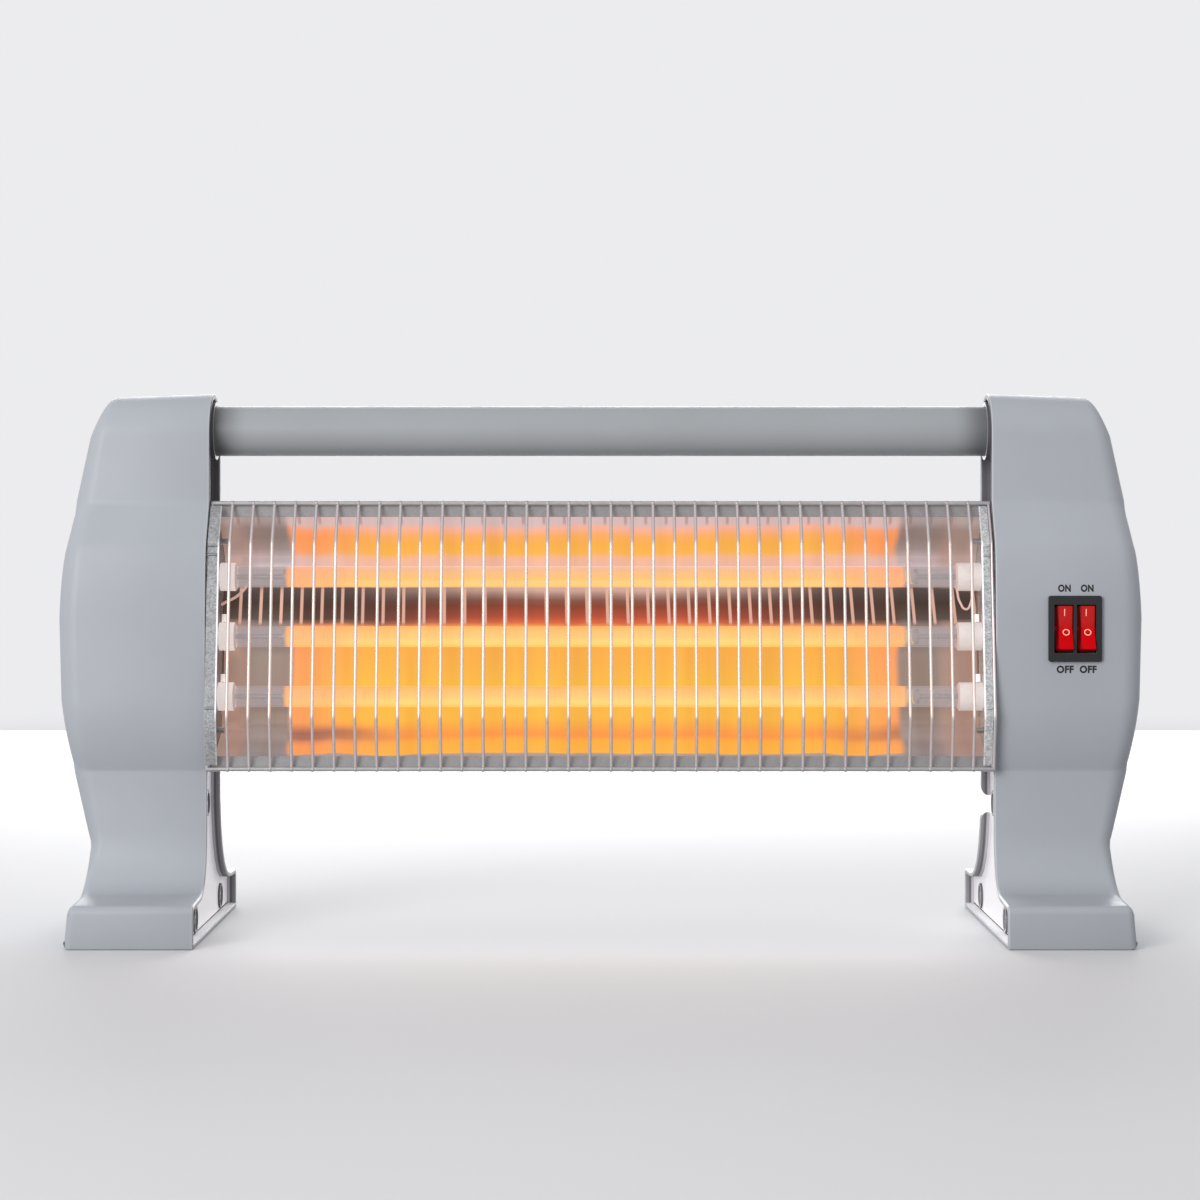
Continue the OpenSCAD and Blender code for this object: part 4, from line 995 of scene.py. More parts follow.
# Painted reflections: glow and mirror images that the polished sheet shows, drawn in the housing's
# own frame
def reflectorMaterial():
    made = Finish("mirrorSheet", (0.5, 0.5, 0.5), {
        "Metallic": 1.0, "Roughness": 0.2, "Emission Strength": 1.0})
    axes = housingAxes(made)
    along, up = axes["X"], axes["Z"]
    ripple = made.calc("SUBTRACT", made.noise(26, 3, (1, 0.25, 0.25)), 0.5)
    wander = made.calc("MULTIPLY_ADD", ripple, reflector["wander"] * mm, up)
    reach = reflector["reach"]
    height = made.fade(wander, (-reach, reach), 0, 1)

    def bands(rows):
        return made.ramp(height, [((u + reach) / (2 * reach), tone(*c)) for u, c in rows])

    # the dark bands lose their red sooner than the bright ones their yellow
    shifted = made.calc("SUBTRACT", along, housing["glowShift"] * mm)
    away = made.distance(shifted)
    turn = made.fade(away, reflector["turn"], 0, 1, True)
    for lean, stretch, (start, end) in reflector["turns"]:
        share = made.fade(made.calc("MULTIPLY_ADD", shifted, lean, away), stretch, 0, 1, True)
        band = made.times(made.fade(up, (start, start + 3), 0, 1),
                          made.fade(up, (end - 3, end), 1, 0))
        turn = made.calc("MULTIPLY_ADD", made.calc("SUBTRACT", share, turn), band, turn)
    lit = made.blend(turn, bands(middleBands), bands(endBands))
    half = reflector["litHalf"]
    edge = made.calc("MULTIPLY_ADD", made.noise(30, 2), 6 * mm, away)
    inside = made.fade(edge, (half + 1, half + 5), 1, 0, True)
    # painted warm reflections near the ceramics, but not in the dark band and hardly at the top
    bandLow, bandHigh = reflector["mirrorBand"]
    bandOut = made.calc("MAXIMUM", made.fade(up, (bandLow, bandLow + 3), 1, 0),
                        made.fade(up, (bandHigh - 3, bandHigh), 0, 1))
    warm = made.fade(away, reflector["warmEnd"], 0, 0.6, True)
    lower = made.fade(up, reflector["warmTop"], 1, 0.3)
    warm = made.times(warm, made.times(bandOut, lower))
    plain = made.blend(warm, bands(plainBands), tone(192, 154, 138))
    # blotches of warmer painted reflection
    patch = made.spread(made.noise(75, 2, (1, 0.12, 0.12)), 0.35, 0.7, 0, 0.45, True)
    plain = made.blend(patch, plain, made.blend(1.0, plain, (1.0, 0.8, 0.74), "MULTIPLY"))
    shown = made.blend(inside, plain, lit)
    # upright streaks of the rolled sheet
    streak = made.spread(made.noise(90, 3, (1, 0.05, 0.05)), 0.3, 0.7, 0.9, 1.05)
    shown = made.scaled(shown, streak)
    # painted reflections of the guard wires in the dark band, leaning more towards the right
    slant = made.calc("MULTIPLY_ADD", along, 0.35, 0.03)
    raised = made.calc("SUBTRACT", up, reflector["mirrorMiddle"] * mm)
    lean = made.calc("MULTIPLY_ADD", raised, slant, along)
    phase = made.calc("SUBTRACT", lean, reflector["mirrorStart"] * mm)
    phase = made.calc("DIVIDE", phase, reflector["mirrorPitch"] * mm)
    phase = made.calc("FRACT", made.calc("ADD", phase, 100.5))  # never below nought
    line = made.spread(made.distance(phase, 0.5), *reflector["mirrorLine"], 1, 0, True)
    stripe = made.times(line, made.fade(up, (bandLow - 0.5, bandLow + 1.5), 0, 1, True))
    stripe = made.times(stripe, made.fade(up, (bandHigh - 3, bandHigh - 0.5), 1, 0, True))
    shown = made.blend(made.times(stripe, 0.88), shown, tone(232, 182, 162))
    # and as darker painted ticks along the upper edge
    tick = made.times(line, made.fade(up, reflector["mirrorTicks"], 0, 0.45, True))
    shown = made.blend(tick, shown, tone(150, 104, 100))
    made.feed(made.scaled(shown, made.spread(inside, 0, 1, 0.72, 0.97)), "Emission Color")
    made.feed(made.scaled(shown, made.spread(inside, 0, 1, 0.35, 0.05)), "Base Color")
    made.gloss(50, 0.14, 0.3, (1, 0.1, 0.1))
    made.grain(30, 0.4, 0.3, (1, 0.25, 0.25))
    return made.material


def reflectorSheet():
    front, back = reflector["frontDepth"], reflector["backDepth"]
    edgeHeight, foldHeight = reflector["frontHeight"], reflector["backHeight"]
    line = [Vector((front, edgeHeight)), Vector((back, foldHeight)),
            Vector((back, -foldHeight)), Vector((front, -edgeHeight))]
    for corner in (2, 1):
        line = easeCorner(line, corner, reflector["bend"], 8)
    steps = [second - first for first, second in zip(line, line[1:])]
    half = reflector["sheet"] / 2
    offsets = [half * mitre(*pair) for pair in zip(steps[:1] + steps, steps + steps[-1:])]
    outline = [point + offset for point, offset in zip(line, offsets)]
    outline += [point - offset for point, offset in zip(line, offsets)][::-1]
    count = len(outline)
    reach = reflector["halfLength"]
    points = [(x, p[0], p[1]) for x in (-reach, reach) for p in outline]
    faces = between(0, count, count) + across(0, count) + across(count, count)
    mesh = makeMesh("reflector_sheet", points, faces)
    mesh.transform(housingPlace)
    piece = putOut("reflector_sheet", closeUp(mesh), reflectorMaterial())
    shadeSmooth(piece, 40)
    return settle(piece, ["reflector"])


reflectorSheet()
rivetSize = {
    "shank": 1.6,
    "front": 32.5,  # depths in the housing where its heads start
    "back": 36.5,
    "dome": [(0.9, 0), (0.85, 1.2), (0.6, 2.2), (0, 2.8)],  # height and radius of a head
    "glowEnd": (32.5, 34.5),
}


# Rivet along the housing's depth with a domed head at each end
def rivetShape():
    front, back, shank = rivetSize["front"], rivetSize["back"], rivetSize["shank"]
    profile = [(front - height, radius) for height, radius in rivetSize["dome"]]
    profile += [(front, shank), (back, shank)]
    profile += [(back + height, radius) for height, radius in rivetSize["dome"][::-1]]
    points, faces = lathe(profile, 20)
    mesh = makeMesh("rivet", points, faces)
    mesh.transform(Matrix.Rotation(math.pi / 2, 4, "Z"))
    return putOut("rivet", closeUp(mesh))


# Steel with a painted glow of the bars on its front end
def rivetSteel():
    made = Finish("rivetSteel", tone(150, 140, 136), {
        "Metallic": 0.5, "Roughness": 0.4, "Emission Strength": 0.9})
    ahead = made.fade(housingAxes(made)["Y"], rivetSize["glowEnd"], 1, 0)
    glow = made.blend(made.noise(300), tone(236, 140, 84), tone(254, 166, 92))
    made.feed(made.scaled(glow, ahead), "Emission Color")
    made.gloss(300, 0.35, 0.5)
    return made.material


rivet = rivetShape()
places = [(x, 0, u) for x, u in reflector["rivets"]]
rivets = scatter("rivet_row", places, rivet, rivetSteel(), housingPlace)
settle(rivets, ["casing_rivets"])
bpy.data.objects.remove(rivet)
print("reflector: folded sheet with its glow, four rivets")

# ---- guard ----
guard = {
    "wires": 36,
    "pitch": 10,
    "wire": 0.75,
    "rod": 1.1,
    "bead": 1.35,
    "endPlace": 184.6,  # the two outermost wires, from the middle
    "rodDepth": -1.4,
    "rodHeight": 63.2,
    "out": 10,
    "bendTop": 43,
    "bendLow": 39.5,
    "bendRadius": 6,
    "rodHalf": 185.2,
}


# A row of points along X: the count and pitch are sockets, y and z sockets or constants
def rowOfPoints(tree, count, pitch, y=0.0, z=0.0):
    start = calc(tree, "MULTIPLY", calc(tree, "MULTIPLY_ADD", count, -0.5, 0.5), pitch)
    row = addNode(tree, "GeometryNodeMeshLine", {
        "Count": count, "Start Location": vector(tree, start, y, z),
        "Offset": vector(tree, pitch)}, mode="OFFSET")
    return row.outputs["Mesh"]


# Sweeps a round section along a curve
def sweep(tree, curve, radius, sides):
    ring = addNode(tree, "GeometryNodeCurvePrimitiveCircle", {
        "Resolution": sides, "Radius": radius})
    body = addNode(tree, "GeometryNodeCurveToMesh", {
        "Curve": curve, "Profile Curve": ring.outputs["Curve"], "Fill Caps": True})
    return body.outputs["Mesh"]


def join(tree, parts):
    node = addNode(tree, "GeometryNodeJoinGeometry")
    for part in parts:
        tree.links.new(part, node.inputs["Geometry"])
    return node.outputs["Geometry"]


# A row of wires and one more at each end
def guardTree():
    tree, keys, inputs = newTree("guardWires", {
        "Wires": "Int", "Pitch": "Float", "End Place": "Float", "Wire Radius": "Float",
        "Bend Radius": "Float", "Path": "Object", "Material": "Material"})
    fillet = addNode(tree, "GeometryNodeFilletCurve", {
        "Curve": contents(tree, inputs["Path"]), "Radius": inputs["Bend Radius"], "Count": 6},
        mode="POLY")
    wire = sweep(tree, fillet.outputs["Curve"], inputs["Wire Radius"], 10)
    first, gap = [calc(tree, "MULTIPLY", inputs["End Place"], n) for n in (-1.0, 2.0)]
    ends = addNode(tree, "GeometryNodeMeshLine", {
        "Count": 2, "Start Location": vector(tree, first), "Offset": vector(tree, gap)},
        mode="OFFSET")
    row = rowOfPoints(tree, inputs["Wires"], inputs["Pitch"])
    places = join(tree, [row, ends.outputs["Mesh"]])
    finishTree(tree, inputs, copies(tree, places, wire))
    return tree, keys


# Two rods along X with a weld bead wherever a wire crosses them
def rodTree():
    tree, keys, inputs = newTree("weldedRods", {
        "Half Length": "Float", "Rod Radius": "Float", "Bead Radius": "Float", "Beads": "Int",
        "Pitch": "Float", "Height": "Float", "Depth": "Float", "Material": "Material"})
    depth, reach = inputs["Depth"], inputs["Half Length"]
    parts = []
    for sign in (1.0, -1.0):
        level = calc(tree, "MULTIPLY", inputs["Height"], sign)
        line = addNode(tree, "GeometryNodeCurvePrimitiveLine", {
            "Start": vector(tree, calc(tree, "MULTIPLY", reach, -1.0), depth, level),
            "End": vector(tree, reach, depth, level)})
        parts.append(sweep(tree, line.outputs["Curve"], inputs["Rod Radius"], 16))
        bead = addNode(tree, "GeometryNodeMeshIcoSphere", {
            "Subdivisions": 2, "Radius": inputs["Bead Radius"]})
        row = rowOfPoints(tree, inputs["Beads"], inputs["Pitch"], depth, level)
        parts.append(copies(tree, row, bead.outputs["Mesh"]))
    finishTree(tree, inputs, join(tree, parts))
    return tree, keys


def pathObject(name, points):
    curve = bpy.data.curves.new(name, "CURVE")
    curve.dimensions = "3D"
    spline = curve.splines.new("POLY")
    spline.points.add(len(points) - 1)
    for point, place in zip(spline.points, points):
        point.co = (*[c * mm for c in place], 1)
    return putOut(name, curve)


wirePath = pathObject("wirePath", [
    (0, guard["rodDepth"], guard["rodHeight"]), (0, -guard["out"], guard["bendTop"]),
    (0, -guard["out"], -guard["bendLow"]), (0, guard["rodDepth"], -guard["rodHeight"])])
wires = grow("guard_wire_row", guardTree(), {
    "Wires": guard["wires"], "Pitch": guard["pitch"] * mm, "End Place": guard["endPlace"] * mm,
    "Wire Radius": guard["wire"] * mm, "Bend Radius": guard["bendRadius"] * mm, "Path": wirePath,
    "Material": brightWire}, housingPlace)
bpy.data.objects.remove(wirePath)
settle(wires, ["guard_wires"])
rods = grow("guard_rod_pair", rodTree(), {
    "Half Length": guard["rodHalf"] * mm, "Rod Radius": guard["rod"] * mm,
    "Bead Radius": guard["bead"] * mm, "Beads": guard["wires"], "Pitch": guard["pitch"] * mm,
    "Height": guard["rodHeight"] * mm, "Depth": guard["rodDepth"] * mm,
    "Material": rodSteel}, housingPlace)
settle(rods, ["guard_rods"])
print("guard:", guard["wires"] + 2, "wires on two rods")

# ---- heating bars ----
bar = {
    "tube": 5,
    "wall": 1,
    "tubeHalf": 177.7,
    "tubeEdge": 0.4,  # the melted edge at each end of a tube
    "litHalf": 148.5,
    "redder": (100, 148),  # the glow gets softer and redder over this stretch
    "coilHalf": 150,
    "coil": 3.2,
    "coilWire": 0.36,
    "turns": 150,
    "sides": 40,
}
glowBands = [
    (0.0, (252, 182, 100)), (0.1, (254, 206, 114)), (0.24, (254, 216, 124)), (0.38, (254, 210, 122)),
    (0.5, (254, 202, 118)), (0.75, (254, 194, 112)), (0.92, (254, 184, 106)), (1.0, (250, 170, 100)),
]
topGlowBands = [
    (0.0, (252, 186, 104)), (0.08, (254, 206, 128)), (0.24, (254, 208, 128)),
    (0.42, (253, 196, 118)), (0.55, (252, 192, 118)), (0.78, (248, 189, 136)),
    (0.94, (238, 184, 158)), (1.0, (236, 184, 162)),
]


def barPlace(height):
    return housingPlace @ Matrix.Translation(Vector((0, housing["barDepth"], height)) * mm)


def quartzTube(name, height):
    outer, inner, reach = bar["tube"], bar["tube"] - bar["wall"], bar["tubeHalf"]
    edge, coiled = bar["tubeEdge"], bar["coilHalf"]
    stations = [-reach, -reach + edge, -coiled, 0, coiled, reach - edge, reach]
    profile = [(x, outer - (edge if abs(x) == reach else 0)) for x in stations]
    profile += [(x, inner + (0.1 if abs(x) == reach else 0)) for x in stations[::-1]]
    points, faces = lathe(profile, bar["sides"])
    mesh = makeMesh(name, points, faces)
    mesh.transform(barPlace(height))
    return closeUp(mesh)


# Clear at the ends with a faint painted glow, glowing in bands along the heated stretch
def quartzMaterial(name, height, warmth, bands):
    made = Finish(name, tone(206, 196, 200), {"Roughness": 0.08, "Emission Strength": 1.0})
    axes = made.axes()
    level = made.calc("SUBTRACT", axes["Z"], barPlace(height).translation[2])
    level = made.fade(level, (-bar["tube"], bar["tube"]), 0, 1)
    glow = made.ramp(level, [(place, tone(*colour)) for place, colour in bands])
    away = made.distance(axes["X"], housing["glowShift"] * mm)
    ends = made.fade(away, bar["redder"], 0, 1, True)
    glow = made.blend(made.times(ends, warmth), glow, tone(255, 170, 124))
    lit = made.fade(away, (bar["litHalf"] - 1.5, bar["litHalf"] + 1.5), 1, 0, True)
    patchy = made.spread(made.noise(60, 2, (1, 0.3, 0.3)), 0.3, 0.7, 0.93, 1.03)
    # the unlit clear ends get a faint painted glow
    clear = dim(tone(178, 165, 165), 0.8)
    made.feed(made.scaled(made.blend(lit, clear, glow), patchy), "Emission Color")
    made.feed(made.blend(lit, tone(90, 84, 85), (0.02, 0.01, 0.01)), "Base Color")
    made.feed(made.spread(lit, 0, 1, 0.4, 0.76), "Alpha")
    return made.material


def coilTree():
    tree, keys, inputs = newTree("heatingCoil", {
        "Turns": "Float", "Radius": "Float", "Length": "Float", "Wire Radius": "Float",
        "Material": "Material"})
    helix = addNode(tree, "GeometryNodeCurveSpiral", {
        "Resolution": 10, "Rotations": inputs["Turns"], "Start Radius": inputs["Radius"],
        "End Radius": inputs["Radius"], "Height": inputs["Length"]})
    finishTree(tree, inputs, sweep(tree, helix.outputs["Curve"], inputs["Wire Radius"], 6))
    return tree, keys


glowing = Finish("glowingWire", (0.05, 0.02, 0.01), {"Roughness": 0.5, "Emission Strength": 1.0})
glowing.feed(glowing.ramp(glowing.noise(60, 2, (1, 0.1, 0.1)),
                          [(0.3, tone(255, 196, 96)), (0.7, tone(255, 226, 140))]), "Emission Color")
coilMade = coilTree()
coilShift = Matrix.Translation((-bar["coilHalf"] * mm, 0, 0))
coilTurn = coilShift @ Matrix.Rotation(math.radians(90), 4, "Y")
for label, height in barHeights.items():
    name = "quartz_" + label
    warmth, bands = (0.8, topGlowBands) if label == "top" else (0.6, glowBands)
    tube = putOut(name, quartzTube(name, height), quartzMaterial(name, height, warmth, bands))
    shadeSmooth(tube, 40)
    settle(tube, ["quartz_tube_" + label])
    coil = grow("glowing_coil_" + label, coilMade, {
        "Turns": float(bar["turns"]), "Radius": bar["coil"] * mm, "Length": 2 * bar["coilHalf"] * mm,
        "Wire Radius": bar["coilWire"] * mm, "Material": glowing.material},
        barPlace(height) @ coilTurn)
    settle(coil, ["heating_coil_" + label])
print("bars: three tubes with", bar["turns"], "turns each")

# ---- ceramic ends ----
ceramic = {
    "radius": 6.8,
    "bore": 5.1,
    "neck": 4.5,
    "pinHole": 1.3,
    "edge": 0.3,
    "leftEnd": 174.6,  # inner ends, from the middle
    "rightEnd": 170.6,
    "outerEnd": 188.5,
}


def ceramicEnd(side, label, height):
    sign = -1 if side == "left" else 1
    inner, plate, outer = ceramic[side + "End"], housing["plateInner"], ceramic["outerEnd"]
    r, bore, neck = ceramic["radius"], ceramic["bore"], ceramic["neck"]
    hole, edge = ceramic["pinHole"], ceramic["edge"]
    profile = [(inner + 0.2, bore), (inner, bore + 0.2), (inner + 0.7, r - edge),
               (inner + 0.82, r - 0.08), (inner + 1.0, r), (plate - edge, r), (plate, r - edge),
               (plate, neck), (outer - 0.4, neck), (outer, neck - 0.4), (outer, hole),
               (plate, hole), (plate - 2, bore)]
    points, faces = lathe([(sign * x, radius) for x, radius in profile], 32)
    name = f"{side}_ceramic_end_{label}"
    mesh = makeMesh(name, points, faces)
    mesh.transform(barPlace(height))
    mesh = closeUp(mesh)
    # the inner end gets a painted warm light of the bar, and the right ends a painted-shade copy of
    # the clay
    mesh.polygons.foreach_set("material_index", [
        int(f.normal.x * sign < -0.5 and abs(f.center.x) < (inner + 1) * mm)
        for f in mesh.polygons])
    piece = putOut(name, mesh, whiteClay if side == "left" else shadedClay, warmClay)
    shadeSmooth(piece, 35)
    settle(piece, [f"{side}_ceramic_{label}"])


for side in ("left", "right"):
    for label, height in barHeights.items():
        ceramicEnd(side, label, height)


# Thin sleeve along a smooth line of points in the housing's frame
def thread(name, points, radius, material):
    curve = bpy.data.curves.new(name, "CURVE")
    curve.dimensions = "3D"
    curve.bevel_depth = radius * mm
    curve.bevel_resolution = 3
    curve.resolution_u = 8
    curve.use_fill_caps = True
    spline = curve.splines.new("BEZIER")
    spline.bezier_points.add(len(points) - 1)
    for point, place in zip(spline.bezier_points, points):
        point.co = [c * mm for c in place]
        point.handle_left_type = point.handle_right_type = "AUTO"
    mesh = curveMesh(curve)
    mesh.transform(housingPlace)
    piece = putOut(name, mesh, material)
    shadeSmooth(piece, 60)
    settle(piece)


pigtails = {  # radius, then X, depth and height over the top bar at each point
    "left": (0.68, [(-170.2, 19, -4.4), (-171.4, 15.5, -7.2), (-174.9, 14.5, -10.6),
                    (-179.0, 15, -12.6), (-181.8, 18, -13.6)]),
    "right": (0.55, [(171.4, 19, -6.4), (172.6, 16.5, -13), (175.2, 16, -16.2),
                     (177.6, 17, -13.4), (178.6, 19, -6.6)]),
}
for side, (radius, line) in pigtails.items():
    line = [(x, y, barHeights["top"] + rise) for x, y, rise in line]
    thread(side + "_pigtail", line, radius, salmonLead)
print("ceramics: six ends and two pigtails")

# ---- switch ----
switch = {
    "centre": (222.7, 145.1),  # X and height
    "front": -38,  # Y of the bezel's face
    "halfWide": 12.5,
    "halfHigh": 15.5,
    "corner": 1.1,
    "chamfer": 0.6,
    "rim": 1.5,
    "wellHalf": (4.5, 11.3),  # the wells round the rockers, which get painted shade
    "wellDepth": 0.3,
    "rockers": {"left": 217.4, "right": 228.0},
    "rockerHalf": 4.3,
    "rockerWays": {  # reach and rounding on each side
        "left": ((-3.2, 1.5), (4.25, 0.35)),
        "right": ((-3.3, 1.5), (4.1, 0.35)),
    },
    "axle": 1.2,
    "axleHalf": 5,
    "axleSides": 20,
    "pivot": -35,
    "tilt": 9,
    "dip": 1.6,
    "crown": 2.9,
    "crownReach": 12,
}
bezelBlack = moulded("bezelBlack", tone(34, 36, 38), 0.36)
# Painted shade for the wells round the rockers
wellBlack = moulded("wellBlack", tone(10, 9, 10), 0.6)


def switchBody():
    cx, cz = switch["centre"]
    shape = shapeOf("switch_body")

    # how far inside the bezel's sides and ends a vertex lies
    def inwards(vert):
        return (switch["halfWide"] - abs(vert.co.x / mm - cx),
                switch["halfHigh"] - abs(vert.co.z / mm - cz))

    def atRim(vert):
        return min(inwards(vert)) < switch["rim"]

    def isFront(vert):
        return vert.co.y / mm < switch["front"] + 0.1

    def isDeep(edge):
        return abs(edge.verts[0].co.y - edge.verts[1].co.y) > 1 * mm

    corners = [e for e in shape.edges if all(max(inwards(v)) < 0.5 for v in e.verts) and isDeep(e)]
    roundEdges(shape, corners, switch["corner"], 4)
    outside = [e for e in hardEdges(shape) if all(isFront(v) and atRim(v) for v in e.verts)]
    roundEdges(shape, outside, switch["chamfer"], 3)
    windows = [e for e in hardEdges(shape) if all(isFront(v) and not atRim(v) for v in e.verts)]
    roundEdges(shape, windows, 0.25, 2)

    # Faces deep in the wells get painted shade
    def wellPick(centre, normal):
        nearX = min(abs(centre[0] - x) for x in switch["rockers"].values())
        halfWide, halfHigh = switch["wellHalf"]
        inWell = nearX < halfWide and abs(centre[2] - cz) < halfHigh
        return 1 if inWell and centre[1] > switch["front"] + switch["wellDepth"] else 0

    finishShape(shape, "switch_body", [bezelBlack, wellBlack], wellPick)


# Red plastic with painted light and shade: duller on the pushed-in half of a rocker, darker at its
# foot, with a painted glow
def redPlastic(name, lower, upper, glow):
    made = Finish(name, lower, {
        "Roughness": 0.3, "Specular IOR Level": 0.05, "Emission Strength": glow})
    level = made.calc("SUBTRACT", made.axes()["Z"], switch["centre"][1] * mm)
    shade = made.blend(made.fade(level, (-3, 5), 0, 1, True), lower, upper)
    footShade = made.fade(level, (-9.9, -9.1), 0.5, 1)
    uneven = made.spread(made.noise(160), 0.3, 0.7, 0.92, 1.0)
    cloudy = made.scaled(shade, made.times(footShade, uneven))
    made.feed(cloudy, "Base Color")
    made.feed(cloudy, "Emission Color")
    made.gloss(300, 0.26, 0.38)
    return made.material


# The face's red and a painted-shade copy for the sides
rockerFace = redPlastic("rockerFace", tone(206, 3, 12), tone(192, 36, 34), 0.18)
rockerSide = redPlastic("rockerSide", tone(140, 8, 16), tone(124, 18, 20), 0.3)


# Side walls, their rounded edges, the end faces and the axle get the painted-shade copy of the red
def rockerPick(centre, normal, low, high):
    onAxle = not low < centre[0] < high
    return 1 if onAxle or abs(normal[0]) > 0.2 or abs(normal[2]) > 0.45 else 0


# A rocker's outline from the side of its solid, round its pivot, with eased corners
def rockerRing(side, pivot):
    middle, half = switch["rockers"][side], switch["rockerHalf"]
    rim = set()
    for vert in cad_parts[side + "_rocker"].data.vertices:
        place = Vector((vert.co.y, vert.co.z)) / mm - pivot
        atSide = abs(abs(vert.co.x / mm - middle) - half) < 0.02
        if atSide and place.length > switch["axle"] + 0.2:
            rim.add((round(place[0], 3), round(place[1], 3)))
    ring = sorted((Vector(place) for place in rim), key=lambda p: -math.atan2(p[1], p[0]))
    for i in range(len(ring) - 2, 0, -1):
        first, second = ring[i] - ring[i - 1], ring[i + 1] - ring[i]
        if first.angle(second, 0) > math.radians(45):
            ring = easeCorner(ring, i, 0.3, 3)
    return ring


# That outline swept across with widely rounded long edges, and a stub of the axle on either side
def rockerPiece(side):
    node, middle = side + "_rocker", switch["rockers"][side]
    pivot = Vector((switch["pivot"], switch["centre"][1]))
    ring = rockerRing(side, pivot)
    mitres = ringMitres(ring)
    count = len(ring)
    turns = [math.radians(18 * k) for k in range(6)]
    (low, lowEdge), (high, highEdge) = switch["rockerWays"][side]
    rows = [(low + lowEdge * (1 - math.cos(t)), 0.7 * lowEdge * (1 - math.sin(t))) for t in turns]
    rows += [(high - highEdge * (1 - math.cos(t)), highEdge * (1 - math.sin(t)))
             for t in turns[::-1]]
    points = [(middle + x, *(pivot + ring[i] + inset * mitres[i]))
              for x, inset in rows for i in range(count)]
    faces = []
    for k in range(len(rows) - 1):
        faces += between(k * count, (k + 1) * count, count)
    faces += [tuple(range(count)), tuple(range((len(rows) - 1) * count, len(rows) * count))]
    sides = switch["axleSides"]
    for stub in ((-switch["axleHalf"], low + 0.2), (high - 0.2, switch["axleHalf"])):
        start = len(points)
        for end in stub:
            for k in range(sides):
                turn = 2 * math.pi * k / sides
                points.append((middle + end, pivot[0] + switch["axle"] * math.cos(turn),
                               pivot[1] + switch["axle"] * math.sin(turn)))
        faces += between(start, start + sides, sides)
        faces += [tuple(range(start, start + sides)),
                  tuple(range(start + sides, start + 2 * sides))]
    mesh = closeUp(makeMesh(node + "_moulded", points, faces))
    mesh.polygons.foreach_set("material_index", [
        rockerPick(f.center / mm, f.normal, middle + low, middle + high) for f in mesh.polygons])
    piece = putOut(node + "_moulded", mesh, rockerFace, rockerSide)
    shadeSmooth(piece)
    settle(piece, [node], node)


switchBody()
for side in ("left", "right"):
    rockerPiece(side)

# ---- marks and words ----
mark = {
    "lift": 0.04,  # in front of the rocker's face
    "wordLift": 0.05,  # and of the cap's
    "barWide": 0.38,
    "barLow": 5.6,
    "barHigh": 8.8,
    "barShift": -0.45,
    "ringWide": 3.3,
    "ringHigh": 3.1,
    "ringLevel": -2.0,
    "ringShift": 0.25,
    "stroke": 0.38,
    "steps": 32,
    "sideShift": {"left": 0.8, "right": 0.33},
}
# The pale marks have a painted glow
paleInk = ink("paleInk", tone(252, 196, 172), 0.35)
darkInk = ink("darkInk", tone(6, 7, 12))


# Flat shape in millimetres laid on a rocker's face, a hair in front of it
def rockerMark(name, side, points, faces):
    slope = switch["crown"] / switch["crownReach"]
    placed = [(x, -switch["dip"] - slope * abs(z) - mark["lift"], z) for x, z in points]
    mesh = makeMesh(name, placed, faces)
    turn = Matrix.Rotation(-math.radians(switch["tilt"]), 4, "X")
    pivot = Vector((switch["rockers"][side], switch["pivot"], switch["centre"][1])) * mm
    mesh.transform(Matrix.Translation(pivot) @ turn)
    settle(putOut(name, mesh, paleInk), (), side + "_rocker")


for side in ("left", "right"):
    aside, steps = mark["sideShift"][side], mark["steps"]
    x0, halfWide = mark["barShift"] + aside, mark["barWide"] / 2
    low, high = mark["barLow"], mark["barHigh"]
    rockerMark(side + "_rocker_bar", side,
               [(x0 - halfWide, low), (x0 + halfWide, low),
                (x0 + halfWide, high), (x0 - halfWide, high)], [(0, 1, 2, 3)])
    ringPoints = []
    for inset in (0, mark["stroke"]):
        for k in range(steps):
            turn = 2 * math.pi * k / steps
            x = mark["ringShift"] + aside + (mark["ringWide"] / 2 - inset) * math.cos(turn)
            z = mark["ringLevel"] + (mark["ringHigh"] / 2 - inset) * math.sin(turn)
            ringPoints.append((x, z))
    rockerMark(side + "_rocker_ring", side, ringPoints, between(0, steps, steps))

bellyLine = [point for point in capLines()[0] if point[1] > cap["lowCreaseHeight"]]


# Depth of the cap's front at a height on the belly
def frontY(z):
    for low, high in zip(bellyLine, bellyLine[1:]):
        if low[1] <= z <= high[1]:
            return low[0] + (high[0] - low[0]) * (z - low[1]) / (high[1] - low[1])


# Printed word on the cap's front, given by its middle and size in millimetres
def printed(name, word, middle, wide, high):
    curve = bpy.data.curves.new(name, "FONT")
    curve.body = word
    curve.align_x = "CENTER"
    curve.offset = 0.048  # bolder strokes
    curve.space_character = 1.08
    mesh = curveMesh(curve)
    xs, ys = [v.co.x for v in mesh.vertices], [v.co.y for v in mesh.vertices]
    for vert in mesh.vertices:
        x = middle[0] + wide * ((vert.co.x - min(xs)) / (max(xs) - min(xs)) - 0.5)
        z = middle[1] + high * ((vert.co.y - min(ys)) / (max(ys) - min(ys)) - 0.5)
        vert.co = Vector((x, frontY(z) - mark["wordLift"], z)) * mm
    settle(putOut(name, mesh, darkInk))


words = {  # middle, width and height
    "on_left": ("ON", (217.9, 164.1), 6.0, 3.5),
    "on_right": ("ON", (228.6, 164.1), 6.0, 3.5),
    "off_left": ("OFF", (218.2, 126.0), 8.0, 3.6),
    "off_right": ("OFF", (229.0, 126.0), 8.0, 3.6),
}
for name, settings in words.items():
    printed(name, *settings)
print("switch: bezel, two rockers, marks and words")


